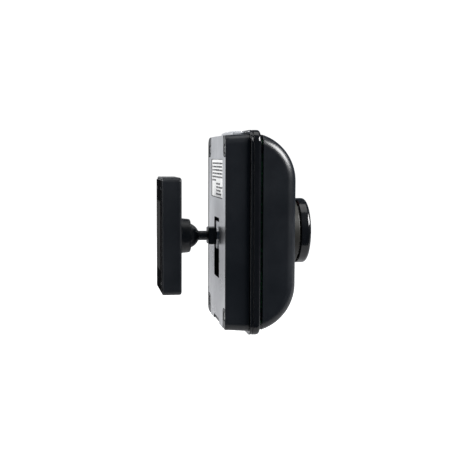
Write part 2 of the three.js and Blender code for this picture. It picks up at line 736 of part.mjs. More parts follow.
function electronics() {
  const group = new THREE.Group();
  const seat = BOARD_Y + FIT;
  const canTop = HORN_Z - HORN_H / 2 - CAN_GAP;
  const canX = [CAN_X - CAN_W / 2, CAN_X + CAN_W / 2];
  const can = block(...canX, seat, seat + CAN_T, canTop - CAN_H, canTop);
  const cell = rod(CELL_R, seat, seat + CELL_T, CELL_X, -SPEAKER_DROP);
  const alert = roundedRect(ALERT_W - 2 * FIT, ALERT_H - 2 * FIT, ALERT_CORNER - FIT, 0, ALERT_RISE);
  const pipeX = ALERT_W / 2 - PIPE_INSET;
  const pipeZ = ALERT_H / 2 - PIPE_GAP;
  const pipeFront = FRONT_Y + ALERT_T + PIPE_GAP / 2;
  const pipe = block(
    -pipeX, pipeX, pipeFront + PIPE_DEPTH, pipeFront, ALERT_RISE - pipeZ, ALERT_RISE + pipeZ,
  );
  group.add(
    mainBoard(),
    antennaHorn(),
    piece('mixer_can', can, steel()),
    piece('backup_cell', cell, steel()),
    speaker(),
    piece('alert_window', solid(slab(alert, FRONT_Y + ALERT_T, FRONT_Y)), smoked()),
    piece('light_pipe', pipe, clearPlastic()),
    ...powerSocket(),
  );
  return group;
}

// ---------------------------------------------------------------- mount

function baseHousing() {
  const outline = roundedRect(BASE_W, BASE_H, BASE_CORNER);
  let body = solid(slab(outline, BASE_BACK_Y, BASE_FRONT_Y, BASE_EDGE));
  const squareBack = solid(slab(outline, BASE_BACK_Y, BASE_BACK_Y - 2 * BASE_EDGE));
  body = join(body, squareBack);
  const recessW = BASE_W - 2 * BACK_INSET + 2 * FIT;
  const recessH = BASE_H - 2 * BACK_INSET + 2 * FIT;
  const backSeat = -PAD_PROUD - BACK_T - FIT;
  const recess = roundedRect(recessW, recessH, BACK_CORNER + FIT);
  body = cut(body, solid(slab(recess, PAST, backSeat)));
  const ledge = 2 * (BASE_WALL + FIT);
  const hollow = roundedRect(recessW - ledge, recessH - ledge, BACK_CORNER);
  body = cut(body, solid(slab(hollow, 0, BASE_FRONT_Y + BASE_WALL)));
  body = join(body, rod(SOCKET_R, backSeat, BALL_Y + FIT, 0, AXIS_Z, FINE_FACETS));
  for (const [sx, sz] of CORNERS) {
    const [x, z] = [sx * BASE_SCREW_X, sz * BASE_SCREW_Z];
    const bore = SMALL_SHANK_R + FIT;
    body = join(body, rod(bore + POST_WALL, backSeat, BASE_FRONT_Y + BASE_WALL / 2, x, z, BORE_FACETS));
    body = cut(body, rod(bore, 0, BASE_FRONT_Y + BASE_EDGE, x, z, BORE_FACETS));
  }
  return piece('base_housing', cut(body, socketCavity(), ballSeat()), blackPlastic());
}

// the space behind the ball that holds the cup and the pad
function socketCavity() {
  const steps = 6;
  const edge = THREE.MathUtils.radToDeg(Math.acos(BALL_AHEAD / CAVITY_R));
  return turned([...polarArc(CAVITY_R, BALL_Y, 0, edge, steps), [0, BASE_FRONT_Y]], FACETS, AXIS_Z);
}

function ballSeat() {
  return turned(polarArc(BALL_R + FIT, BALL_Y, 0, 180, 12), FACETS, AXIS_Z);
}

// a thin spherical cap behind the ball
function capShell(innerR, thickness, halfAngle) {
  const steps = 3;
  return turned([
    ...polarArc(innerR + thickness, BALL_Y, 0, halfAngle, steps),
    ...polarArc(innerR, BALL_Y, halfAngle, 0, steps),
  ], FACETS);
}

function clampCollar() {
  const tail = BASE_FRONT_Y - FIT;
  const nose = BALL_Y - LIP_AHEAD;
  const inner = SOCKET_R + FIT;
  const lip = (ahead) => [Math.sqrt((BALL_R + LIP_GAP) ** 2 - ahead ** 2), BALL_Y - ahead];
  const bevel = [[COLLAR_NOSE_R, nose + COLLAR_BEVEL], [COLLAR_NOSE_R - COLLAR_BEVEL, nose]];
  return piece('clamp_collar', turned([
    [inner, tail], [COLLAR_R, tail], ...bevel,
    lip(LIP_AHEAD), lip(LIP_AHEAD / 2), lip(0), [inner, BALL_Y], [inner, tail],
  ], FINE_FACETS), rubber());
}

function ballArm() {
  const neckAngle = 180 - THREE.MathUtils.radToDeg(Math.asin(STEM_R / BALL_R));
  const end = BLOCK_Y - STEM_SEAT;
  const seatR = STEM_R - SEAT_STEP;
  const shoulder = BLOCK_Y + FIT;
  return piece('ball_stem', turned([
    ...polarArc(BALL_R, BALL_Y, 0, neckAngle, 10),
    [STEM_R, shoulder], [seatR, shoulder], [seatR, end], [0, end],
  ], FACETS), blackPlastic());
}

function hookBlock() {
  const front = PLATE_Y + FIT;
  const outline = roundedRect(BLOCK_SIZE, BLOCK_SIZE, BLOCK_CORNER);
  const body = solid(slab(outline, BLOCK_Y, front, BLOCK_EDGE, 1));
  const seat = rod(STEM_R - SEAT_STEP + FIT, BLOCK_Y + PAST, BLOCK_Y - STEM_SEAT - FIT);
  const bore = rod(SMALL_SHANK_R + FIT, BLOCK_Y, front - PAST, 0, 0, BORE_FACETS);
  return piece('hook_block', cut(body, seat, bore), blackPlastic());
}

function hookHead() {
  const neckBack = PLATE_Y;
  const headBack = PLATE_Y + SHELL_BACK_Y - KEEPER_T - RUN;
  const headFront = headBack - HEAD_T;
  const half = NECK_W / 2;
  const body = join(
    solid(slab(roundedRect(HEAD_W, HEAD_H, HEAD_CORNER), headBack, headFront)),
    block(-half, half, neckBack, headBack - HEAD_T / 2, -half, half),
  );
  const sink = rod(SMALL_HEAD_R + FIT, headFront - PAST, headFront + SMALL_HEAD_T, 0, 0, HEAD_FACETS);
  const bore = rod(SMALL_SHANK_R + FIT, neckBack + PAST, headFront - PAST, 0, 0, BORE_FACETS);
  return [
    piece('hook_head', cut(body, sink, bore), steel()),
    piece('hook_screw', join(
      rod(SMALL_HEAD_R, headFront, headFront + SMALL_HEAD_T - FIT, 0, 0, HEAD_FACETS),
      rod(SMALL_SHANK_R, headFront + FIT, BLOCK_Y - STEM_SEAT - 2 * FIT, 0, 0, BORE_FACETS),
    ), steel()),
  ];
}

function mountGroup() {
  const group = new THREE.Group();
  const backFront = -PAD_PROUD - BACK_T;
  const outline = roundedRect(BASE_W - 2 * BACK_INSET, BASE_H - 2 * BACK_INSET, BACK_CORNER);
  let back = solid(slab(outline, -PAD_PROUD, backFront));
  const padSeat = roundedRect(PAD_W + 2 * FIT, PAD_H + 2 * FIT, PAD_CORNER + FIT);
  back = cut(back, solid(slab(padSeat, PAST, -PAD_T - FIT)));
  CORNERS.forEach(([sx, sz], i) => {
    const [x, z] = [sx * BASE_SCREW_X, sz * BASE_SCREW_Z];
    const headBack = -PAD_PROUD - BASE_SCREW_SINK;
    back = cut(back, screwHole(
      SMALL_HEAD_R, SMALL_SHANK_R, x, z, PAST, headBack - SMALL_HEAD_T - FIT, backFront - PAST,
    ));
    group.add(screw(
      `base_screw_${i + 1}`, SMALL_HEAD_R, SMALL_HEAD_T, SMALL_SHANK_R,
      BASE_T - BASE_SCREW_STOP, x, headBack, z,
    ));
  });
  group.add(
    baseHousing(),
    piece('base_back', back, glossBlack()),
    piece('adhesive_pad', solid(slab(roundedRect(PAD_W, PAD_H, PAD_CORNER), 0, -PAD_T)), rubber()),
    ballJoint(),
  );
  return group;
}

function ballJoint() {
  const group = new THREE.Group();
  group.position.z = AXIS_Z;
  group.add(
    clampCollar(),
    piece('pressure_cup', capShell(CUP_INNER_R, CUP_T, CUP_ANGLE), castMetal()),
    piece('friction_pad', capShell(BALL_R + FIT, CUP_T, FRICTION_PAD_ANGLE), rubber()),
    ballArm(),
    hookBlock(),
    ...hookHead(),
  );
  return group;
}

// ---------------------------------------------------------------- assembly

const detector = new THREE.Group();
detector.position.set(0, PLATE_Y, AXIS_Z + AXIS_DROP);
detector.add(casing(), dialGroup(), keyGroup(), electronics());

const part = new THREE.Group();
part.add(mountGroup(), detector);

export default part;
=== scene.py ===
import json
import math
from contextlib import contextmanager

import bmesh
import bpy
from mathutils import Matrix, Vector


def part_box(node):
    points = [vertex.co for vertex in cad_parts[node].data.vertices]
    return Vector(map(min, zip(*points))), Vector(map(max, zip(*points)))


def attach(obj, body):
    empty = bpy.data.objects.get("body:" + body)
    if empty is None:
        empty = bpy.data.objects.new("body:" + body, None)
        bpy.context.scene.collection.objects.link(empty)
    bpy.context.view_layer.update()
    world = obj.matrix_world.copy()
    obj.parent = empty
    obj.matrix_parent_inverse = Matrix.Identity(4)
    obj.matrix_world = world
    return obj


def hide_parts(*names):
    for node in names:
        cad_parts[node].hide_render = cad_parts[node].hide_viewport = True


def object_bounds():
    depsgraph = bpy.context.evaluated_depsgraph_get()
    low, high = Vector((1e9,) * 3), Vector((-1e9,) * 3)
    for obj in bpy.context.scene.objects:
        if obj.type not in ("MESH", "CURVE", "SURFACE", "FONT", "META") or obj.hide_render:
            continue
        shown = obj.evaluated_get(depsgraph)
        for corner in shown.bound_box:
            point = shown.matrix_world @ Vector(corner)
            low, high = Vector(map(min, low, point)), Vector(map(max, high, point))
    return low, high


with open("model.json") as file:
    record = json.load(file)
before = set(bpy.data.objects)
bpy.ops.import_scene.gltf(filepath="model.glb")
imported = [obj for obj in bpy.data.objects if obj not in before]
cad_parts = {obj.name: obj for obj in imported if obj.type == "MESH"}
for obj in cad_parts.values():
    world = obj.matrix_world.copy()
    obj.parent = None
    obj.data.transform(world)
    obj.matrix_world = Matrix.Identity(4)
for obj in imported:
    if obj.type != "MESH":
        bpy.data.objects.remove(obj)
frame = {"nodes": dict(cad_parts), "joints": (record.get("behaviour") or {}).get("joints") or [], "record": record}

bl_info = {
    "name": "Radar detector maker",
    "version": (1, 0, 0),
    "blender": (4, 5, 0),
    "location": "3D View > Sidebar > Detector",
    "description": "Builds the casing, dial, keys and ball mount of a radar detector round its frame",
    "category": "Object",
}

CAD_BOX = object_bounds()
BODY_OF = {
    node: body
    for body, nodes in frame["record"]["behaviour"]["bodies"].items()
    for node in nodes
}
MM = 0.001
TINY = 1e-6
TURN = 2 * math.pi
GAP = 0.3 * MM  # clearance between pieces that are put together
PILOT = 1.3 * MM  # radius of the bore for every small screw
CORNERS = ((-1, -1), (-1, 1), (1, -1), (1, 1))


# ---------------------------------------------------------------- settings


def length(name, description, default):
    return bpy.props.FloatProperty(
        name=name, description=description, default=default * MM, min=0.0, subtype="DISTANCE", unit="LENGTH"
    )


def colour(name, description, default):
    return bpy.props.FloatVectorProperty(
        name=name, description=description, default=default, min=0.0, max=1.0, size=3, subtype="COLOR"
    )


def share(name, description, default):
    return bpy.props.FloatProperty(
        name=name, description=description, default=default, min=0.0, max=1.0, subtype="FACTOR"
    )


def angle(name, description, default):
    return bpy.props.FloatProperty(
        name=name, description=description, default=math.radians(default), subtype="ANGLE", unit="ROTATION"
    )


class CasingSettings(bpy.types.PropertyGroup):
    corner: length("Corner", "Radius of the casing's four long corners", 5)
    wall: length("Wall", "Thickness of the moulded walls", 2)
    lip_round: length("Lip round", "Radius of the lip round the back plate", 0.22)
    cover_arc: length("Cover arc", "Radius that the front cover curves back with", 26)
    cover_edge: length("Cover edge", "Radius between the cover's sides and its arc", 5.6)
    post_radius: length("Post radius", "Radius of the cover's screw posts", 2.8)
    post_root: length("Post root", "From the cover's front to where the posts begin", 10.4)
    gap_width: length("Gap width", "Width of the shadow gap between cover and band", 1.1)
    gap_depth: length("Gap depth", "Depth of that shadow gap", 0.6)
    band_round: length("Band round", "Radius of the band's front edge", 1.7)
    rib_width: length("Rib width", "Width of the fine rib at the band's back", 1.1)
    groove_width: length("Groove width", "Width of the groove beside the rib", 0.55)
    groove_depth: length("Groove depth", "Depth of the groove beside the rib", 0.6)


class PlateSettings(bpy.types.PropertyGroup):
    sunk: length("Sunk", "Depth of the back plate under the shell's lip", 0.3)
    edge: length("Edge", "Radius of the back plate's stamped edge", 0.18)
    notch_width: length("Notch width", "Width of a corner notch", 10)
    notch_height: length("Notch height", "Height of a corner notch", 11.6)
    notch_round: length("Notch round", "Radius of a notch's inner corner", 3.5)
    slot_width: length("Slot width", "Width of the slot over the power socket", 20)
    slot_height: length("Slot height", "Height of that slot", 2.6)


class MountSettings(bpy.types.PropertyGroup):
    base_corner: length("Base corner", "Radius of the base's corners", 2.5)
    base_edge: length("Base edge", "Radius round the base's front", 1.3)
    stem_radius: length("Stem radius", "Radius of the stem behind the ball", 2.65)
    block_edge: length("Block edge", "Radius of the hook block's edges", 0.6)


class DialSettings(bpy.types.PropertyGroup):
    edge: length("Dial edge", "Radius of the dial's front edge", 2)
    dome: length("Cap dome", "Rise of the cap's middle", 0.5)
    mark_width: length("Mark width", "Width of the dial's pointer groove", 0.8)


class FinishSettings(bpy.types.PropertyGroup):
    case: colour("Case", "Moulded blue-black plastic", (0.0055, 0.0066, 0.0088))
    gloss: colour("Gloss", "Polished black plastic", (0.0035, 0.0037, 0.0045))
    silver: colour("Silver", "Satin silver paint of the back plate", (0.66, 0.665, 0.68))
    bright: colour("Bright", "Bright plated strip and keys", (0.82, 0.83, 0.85))
    steel: colour("Steel", "Screws and stamped steel", (0.62, 0.62, 0.61))
    paper: colour("Paper", "Rating label", (0.9, 0.9, 0.89))
    ink: colour("Ink", "Bars printed on the label", (0.035, 0.035, 0.038))
    grain: share("Grain", "Depth of the moulded grain", 0.06)


class StageSettings(bpy.types.PropertyGroup):
    distance: length("Distance", "Camera to the middle of the object", 512)
    lens: bpy.props.FloatProperty(
        name="Lens", description="Focal length on a 36 mm sensor", default=69.7, unit="CAMERA"
    )
    azimuth: angle("Azimuth", "Direction that the camera looks in, from +Y towards -X", 260.71)
    elevation: angle("Elevation", "How far the camera looks down", 4.71)
    roll: angle("Roll", "Turn of the camera about its own axis", 0.22)
    floor_drop: length("Floor drop", "Lowest point of the object to the floor", 60)


SETTINGS = {
    "detector_casing": CasingSettings,
    "detector_plate": PlateSettings,
    "detector_mount": MountSettings,
    "detector_dial": DialSettings,
    "detector_finish": FinishSettings,
    "detector_stage": StageSettings,
}


# ---------------------------------------------------------------- modelling


def deselect_all():
    """Leaves edit mode and drops the selection, which an import or a primitive leaves behind."""
    if bpy.context.mode != "OBJECT":
        bpy.ops.object.mode_set(mode="OBJECT")
    bpy.ops.object.select_all(action="DESELECT")


def select_only(piece):
    deselect_all()
    piece.select_set(True)
    bpy.context.view_layer.objects.active = piece


def apply_place():
    """Moves a piece's place, turn and scale into its mesh."""
    bpy.ops.object.transform_apply(location=True, rotation=True, scale=True)


def select_whole():
    bpy.ops.mesh.select_all(action="SELECT")


def bevel_edges(width, steps):
    bpy.ops.mesh.bevel(offset=width, segments=steps, affect="EDGES")


@contextmanager
def editing(piece):
    select_only(piece)
    bpy.ops.object.mode_set(mode="EDIT")
    yield
    bpy.ops.object.mode_set(mode="OBJECT")


def pick(piece, kind, test):
    """Selects the faces, edges or vertices that pass a test, in edit mode."""
    bpy.ops.mesh.select_mode(type=kind)
    bpy.ops.mesh.select_all(action="DESELECT")
    mesh = bmesh.from_edit_mesh(piece.data)
    for part in {"VERT": mesh.verts, "EDGE": mesh.edges, "FACE": mesh.faces}[kind]:
        if test(part):
            part.select_set(True)
    mesh.select_flush_mode()
    bmesh.update_edit_mesh(piece.data)


def slice_across(y, **options):
    """Cuts the whole mesh by a plane across Y, in edit mode."""
    select_whole()
    bpy.ops.mesh.bisect(plane_co=(0, y, 0), plane_no=(0, 1, 0), **options)


def runs_along(axis):
    def test(edge):
        step = edge.verts[1].co - edge.verts[0].co
        return abs(step[axis]) > 0.999 * step.length

    return test


def lies_at(axis, place):
    def test(part):
        return all(abs(v.co[axis] - place) < 20 * TINY for v in part.verts)

    return test


def block(name, low, high):
    """A box between two corners, placed in its mesh."""
    deselect_all()
    low, high = Vector(low), Vector(high)
    bpy.ops.mesh.primitive_cube_add(size=1, location=(low + high) / 2, scale=high - low)
    apply_place()
    piece = bpy.context.object
    piece.name = name
    return piece


def rounded(name, low, high, corner, axis=1, steps=8):
    """A box whose four edges along one axis are rounded."""
    piece = block(name, low, high)
    with editing(piece):
        pick(piece, "EDGE", runs_along(axis))
        bevel_edges(corner, steps)
    return piece


def window(name, low, high, front, back, corner, steps, gap=0.0):
    """A rounded tool along Y, as wide and high as a box with a gap round it."""
    return rounded(
        name, (low.x - gap, front, low.z - gap), (high.x + gap, back, high.z + gap), corner, steps=steps
    )


def round_rim(piece, axis, place, width, steps=3):
    """Rounds the outline that lies in one plane."""
    with editing(piece):
        pick(piece, "EDGE", lies_at(axis, place))
        bevel_edges(width, steps)


def turned(name, outline, x=0.0, z=0.0, steps=64):
    """A solid of revolution about a line along Y: its outline is a list of (radius, y)."""
    deselect_all()
    radius, y = outline[0]
    bpy.ops.mesh.primitive_plane_add(size=MM, location=(x + radius, y, z))
    apply_place()
    piece = bpy.context.object
    piece.name = name
    with editing(piece):
        bpy.ops.mesh.select_mode(type="VERT")
        select_whole()
        bpy.ops.mesh.merge(type="CENTER")
        for (r0, y0), (r1, y1) in zip(outline, outline[1:]):
            bpy.ops.mesh.extrude_vertices_move(TRANSFORM_OT_translate={"value": (r1 - r0, y1 - y0, 0)})
        select_whole()
        bpy.ops.mesh.spin(steps=steps, angle=TURN, center=(x, y, z), axis=(0, 1, 0))
        select_whole()
        bpy.ops.mesh.remove_doubles(threshold=2 * TINY)
        bpy.ops.mesh.normals_make_consistent(inside=False)
    return piece


def arc(centre, radius, start, end, steps):
    """Points of an arc as (radius, y); angles in degrees from +Y, turning outwards."""
    points = []
    for i in range(steps + 1):
        turn = math.radians(start + (end - start) * i / steps)
        points.append((centre[0] + radius * math.sin(turn), centre[1] + radius * math.cos(turn)))
    return points


def combine(piece, operation, *tools):
    """Cuts or joins other solids, which are used up."""
    for tool in tools:
        select_only(piece)
        step = piece.modifiers.new("step", "BOOLEAN")
        step.operation = operation
        step.solver = "EXACT"
        step.object = tool
        bpy.ops.object.modifier_apply(modifier=step.name)
        bpy.data.objects.remove(tool)
    return piece


def carve(piece, *tools):
    return combine(piece, "DIFFERENCE", *tools)


def weld(piece, *tools):
    return combine(piece, "UNION", *tools)


def soften(piece, width, steps=2):
    """Breaks the edges that a cut leaves sharp."""
    sharp = 40
    select_only(piece)
    step = piece.modifiers.new("soften", "BEVEL")
    step.width = width
    step.segments = steps
    step.limit_method = "ANGLE"
    step.angle_limit = math.radians(sharp)
    step.use_clamp_overlap = True
    step.harden_normals = False
    bpy.ops.object.modifier_apply(modifier=step.name)
    return piece


def twin(piece, name, offset):
    """A copy with its own mesh, moved in its mesh."""
    select_only(piece)
    bpy.ops.object.duplicate(linked=False)
    copy = bpy.context.object
    copy.name = name
    bpy.ops.transform.translate(value=offset)
    apply_place()
    return copy


def join(piece, others):
    """Makes separate closed bodies one piece."""
    select_only(piece)
    for other in others:
        other.select_set(True)
    bpy.ops.object.join()
    return piece


def material(name):
    return bpy.data.materials[f"{name}_finish"]


def paint_faces(piece, look, test):
    """Gives the faces that pass a test a second finish."""
    piece.data.materials.append(material(look))
    for face in piece.data.polygons:
        if test(face):
            face.material_index = len(piece.data.materials) - 1


def finish(piece, look, node_name):
    """Smooths a piece, gives it its finish and lets it stand for its CAD node on that node's body."""
    smooth = 35
    select_only(piece)
    bpy.ops.object.shade_smooth_by_angle(angle=math.radians(smooth))
    even = piece.modifiers.new("even", "WEIGHTED_NORMAL")
    even.keep_sharp = True
    bpy.ops.object.modifier_apply(modifier=even.name)
    if piece.data.materials:
        piece.data.materials[0] = material(look)
    else:
        piece.data.materials.append(material(look))
    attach(piece, BODY_OF[node_name])
    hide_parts(node_name)


# ---------------------------------------------------------------- shader groups


def node(tree, kind, settings=None, **inputs):
    """Adds a shader node; an input is a value or another node's output."""
    made = tree.nodes.new(kind)
    for key, value in (settings or {}).items():
        setattr(made, key, value)
    for key, value in inputs.items():
        wire(tree, made.inputs[key.replace("_", " ")], value)
    return made


def wire(tree, socket, value):
    if isinstance(value, bpy.types.NodeSocket):
        tree.links.new(value, socket)
    else:
        socket.default_value = value


def maths(tree, operation, *values):
    made = tree.nodes.new("ShaderNodeMath")
    made.operation = operation
    for socket, value in zip(made.inputs, values):
        wire(tree, socket, value)
    return made.outputs[0]


def spread(tree, value, low, high, to_low, to_high):
    made = node(tree, "ShaderNodeMapRange", {"clamp": True}, Value=value)
    for key, number in zip(("From Min", "From Max", "To Min", "To Max"), (low, high, to_low, to_high)):
        wire(tree, made.inputs[key], number)
    return made.outputs["Result"]


def blend_colours(tree, factor, first, second):
    made = tree.nodes.new("ShaderNodeMix")
    made.data_type = "RGBA"
    wire(tree, made.inputs["Factor"], factor)
    wire(tree, made.inputs[6], first)
    wire(tree, made.inputs[7], second)
    return made.outputs[2]


def new_group(name, inputs, outputs):
    tree = bpy.data.node_groups.new(name, "ShaderNodeTree")
    for key, kind, default in inputs:
        socket = tree.interface.new_socket(key, in_out="INPUT", socket_type=kind)
        socket.default_value = default
    for key, kind in outputs:
        tree.interface.new_socket(key, in_out="OUTPUT", socket_type=kind)
    given = tree.nodes.new("NodeGroupInput").outputs
    result = tree.nodes.new("NodeGroupOutput").inputs
    return tree, given, result


def place(tree):
    return tree.nodes.new("ShaderNodeTexCoord").outputs["Object"]


def noise(tree, scale, detail, **inputs):
    """Noise in the object's own space."""
    made = node(tree, "ShaderNodeTexNoise", Vector=place(tree), Scale=scale, Detail=detail, **inputs)
    return made.outputs["Fac"]


def add_relief(tree, shader, height, strength, depth):
    bump = node(tree, "ShaderNodeBump", Strength=strength, Distance=depth, Height=height)
    wire(tree, shader["Normal"], bump.outputs["Normal"])


FLOAT = "NodeSocketFloat"


def make_moulded_grain():
    """Fine spark-eroded grain of a moulding tool."""
    tree, given, result = new_group(
        "moulded_grain", [("Scale", FLOAT, 2600.0), ("Coarse", FLOAT, 0.35)], [("Height", FLOAT)]
    )
    fine = noise(tree, given["Scale"], 3.0, Roughness=0.6)
    wide = noise(tree, maths(tree, "MULTIPLY", given["Scale"], 0.23), 2.0)
    coarse = maths(tree, "MULTIPLY", wide, given["Coarse"])
    wire(tree, result["Height"], maths(tree, "ADD", fine, coarse))


def make_brushed_lines():
    """Fine lines drawn along the height, as on satin metal."""
    tree, given, result = new_group(
        "brushed_lines", [("Scale", FLOAT, 900.0), ("Stretch", FLOAT, 0.04)], [("Height", FLOAT)]
    )
    spot = node(tree, "ShaderNodeSeparateXYZ", Vector=place(tree)).outputs
    short = maths(tree, "MULTIPLY", spot[2], given["Stretch"])
    drawn = node(tree, "ShaderNodeCombineXYZ", X=spot[0], Y=spot[1], Z=short).outputs[0]
    lines = node(tree, "ShaderNodeTexNoise", Vector=drawn, Scale=given["Scale"], Detail=4.0, Roughness=0.7)
    wire(tree, result["Height"], lines.outputs["Fac"])


def make_handled_gloss():
    """Roughness that wanders where hands and cloths have been."""
    tree, given, result = new_group(
        "handled_gloss",
        [("Roughness", FLOAT, 0.4), ("Spread", FLOAT, 0.08), ("Scale", FLOAT, 45.0)],
        [("Roughness", FLOAT), ("Mask", FLOAT)],
    )
    mask = spread(tree, noise(tree, given["Scale"], 5.0, Roughness=0.62), 0.35, 0.65, -1.0, 1.0)
    change = maths(tree, "MULTIPLY", mask, given["Spread"])
    wire(tree, result["Roughness"], maths(tree, "ADD", given["Roughness"], change))
    wire(tree, result["Mask"], spread(tree, mask, -1.0, 1.0, 0.0, 1.0))


def make_rubbed_edges():
    """A mask of the edges that rub bare first."""
    tree, given, result = new_group(
        "rubbed_edges", [("Width", FLOAT, 0.0006), ("Amount", FLOAT, 1.0)], [("Mask", FLOAT)]
    )
    eased = node(tree, "ShaderNodeBevel", {"samples": 4}, Radius=given["Width"])
    flat = tree.nodes.new("ShaderNodeNewGeometry")
    dot = tree.nodes.new("ShaderNodeVectorMath")
    dot.operation = "DOT_PRODUCT"
    wire(tree, dot.inputs[0], eased.outputs["Normal"])
    wire(tree, dot.inputs[1], flat.outputs["Normal"])
    edge = spread(tree, dot.outputs["Value"], 0.995, 0.86, 0.0, 1.0)
    worn = spread(tree, noise(tree, 420.0, 4.0), 0.35, 0.7, 0.25, 1.0)
    patchy = maths(tree, "MULTIPLY", edge, worn)
    wire(tree, result["Mask"], maths(tree, "MULTIPLY", patchy, given["Amount"]))


def make_settled_dust():
    """A mask of fine dust on faces that look up."""
    tree, given, result = new_group(
        "settled_dust", [("Amount", FLOAT, 0.1), ("Scale", FLOAT, 700.0)], [("Mask", FLOAT)]
    )
    normal = tree.nodes.new("ShaderNodeNewGeometry").outputs["Normal"]
    facing = node(tree, "ShaderNodeSeparateXYZ", Vector=normal)
    up = spread(tree, facing.outputs[2], 0.2, 1.0, 0.12, 1.0)
    seen = spread(tree, noise(tree, given["Scale"], 6.0, Roughness=0.75), 0.5, 0.72, 0.0, 1.0)
    wire(tree, result["Mask"], maths(tree, "MULTIPLY", maths(tree, "MULTIPLY", up, seen), given["Amount"]))


def use_group(tree, name, **inputs):
    made = tree.nodes.new("ShaderNodeGroup")
    made.node_tree = bpy.data.node_groups[name]
    for key, value in inputs.items():
        wire(tree, made.inputs[key], value)
    return made.outputs


# ---------------------------------------------------------------- materials


def start_material(name, metallic=0.0, **constants):
    """A material with its Principled shader, whose constant values sit on the shader's own sockets."""
    made = bpy.data.materials.new(f"{name}_finish")
    made.use_nodes = True
    shader = made.node_tree.nodes["Principled BSDF"]
    shader.inputs["Metallic"].default_value = metallic
    for key, value in constants.items():
        shader.inputs[key.replace("_", " ")].default_value = value
    return made, made.node_tree, shader.inputs


def with_alpha(rgb):
    return (*rgb, 1.0)


def shade(rgb, factor):
    return tuple(min(1.0, channel * factor) for channel in rgb)


DUST = (0.32, 0.31, 0.29, 1.0)


def surface(name, rgb, roughness, vary=0.05, worn=1.6, wear=0.35, dust=0.05, grain=0.12, size=2600.0,
            pattern="moulded_grain", metallic=0.0, **constants):
    """One finish: a base colour that wanders, rubbed edges, dust, changing gloss and a fine relief."""
    made, tree, shader = start_material(name, metallic, **constants)
    gloss = use_group(tree, "handled_gloss", Roughness=roughness, Spread=vary)
    edges = use_group(tree, "rubbed_edges", Amount=wear)
    settled = use_group(tree, "settled_dust", Amount=dust)
    base = blend_colours(tree, gloss["Mask"], with_alpha(shade(rgb, 0.86)), with_alpha(shade(rgb, 1.12)))
    rubbed = blend_colours(tree, edges["Mask"], base, with_alpha(shade(rgb, worn)))
    wire(tree, shader["Base Color"], blend_colours(tree, settled["Mask"], rubbed, DUST))
    duller = maths(tree, "MULTIPLY", settled["Mask"], 0.4)
    wire(tree, shader["Roughness"], maths(tree, "ADD", gloss["Roughness"], duller))
    add_relief(tree, shader, use_group(tree, pattern, Scale=size)["Height"], grain, 0.04 * MM)
    return made


def make_circuit_board():
    """Green lacquer over copper tracks."""
    made, tree, shader = start_material("circuit_board")
    tracks = node(
        tree, "ShaderNodeTexVoronoi", {"distance": "MANHATTAN", "feature": "DISTANCE_TO_EDGE"},
        Vector=place(tree), Scale=260.0,
    )
    on_track = spread(tree, tracks.outputs["Distance"], 0.05, 0.09, 1.0, 0.0)
    gloss = use_group(tree, "handled_gloss", Roughness=0.34, Spread=0.06)
    lacquer = blend_colours(tree, gloss["Mask"], (0.008, 0.07, 0.028, 1), (0.012, 0.1, 0.04, 1))
    wire(tree, shader["Base Color"], blend_colours(tree, on_track, lacquer, (0.03, 0.2, 0.07, 1)))
    wire(tree, shader["Roughness"], gloss["Roughness"])
    add_relief(tree, shader, on_track, 0.3, 0.05 * MM)
    return made


def make_clear_plastic():
    """Clear light pipe with a faintly frosted face."""
    made, tree, shader = start_material("clear_plastic", Transmission_Weight=0.9, IOR=1.49)
    gloss = use_group(tree, "handled_gloss", Roughness=0.12, Spread=0.06)
    tint = blend_colours(tree, gloss["Mask"], (0.82, 0.86, 0.88, 1), (0.9, 0.92, 0.93, 1))
    wire(tree, shader["Base Color"], tint)
    wire(tree, shader["Roughness"], gloss["Roughness"])
    return made


def make_label_paper(rgb):
    """White film with a soft fibre mottle."""
    made, tree, shader = start_material("label_paper", Specular_IOR_Level=0.35)
    fibre = noise(tree, 1500.0, 6.0)
    mottle = spread(tree, fibre, 0.3, 0.7, 0.0, 1.0)
    tint = blend_colours(tree, mottle, with_alpha(shade(rgb, 0.95)), with_alpha(rgb))
    wire(tree, shader["Base Color"], tint)
    wire(tree, shader["Roughness"], spread(tree, fibre, 0.3, 0.7, 0.5, 0.62))
    add_relief(tree, shader, fibre, 0.08, 0.03 * MM)
    return made


def make_floor_paint():
    """Pale floor under studio light that leaves it plain white."""
    paint = surface(
        "floor_paint", (0.35, 0.35, 0.35), 0.8, vary=0.04, wear=0.0, dust=0.0, grain=0.05, size=300.0,
        Emission_Strength=1.0,
    )
    tree = paint.node_tree
    seen = tree.nodes.new("ShaderNodeLightPath").outputs["Is Camera Ray"]
    glow = blend_colours(tree, seen, (0.16, 0.16, 0.17, 1), (1, 1, 1, 1))
    wire(tree, tree.nodes["Principled BSDF"].inputs["Emission Color"], glow)


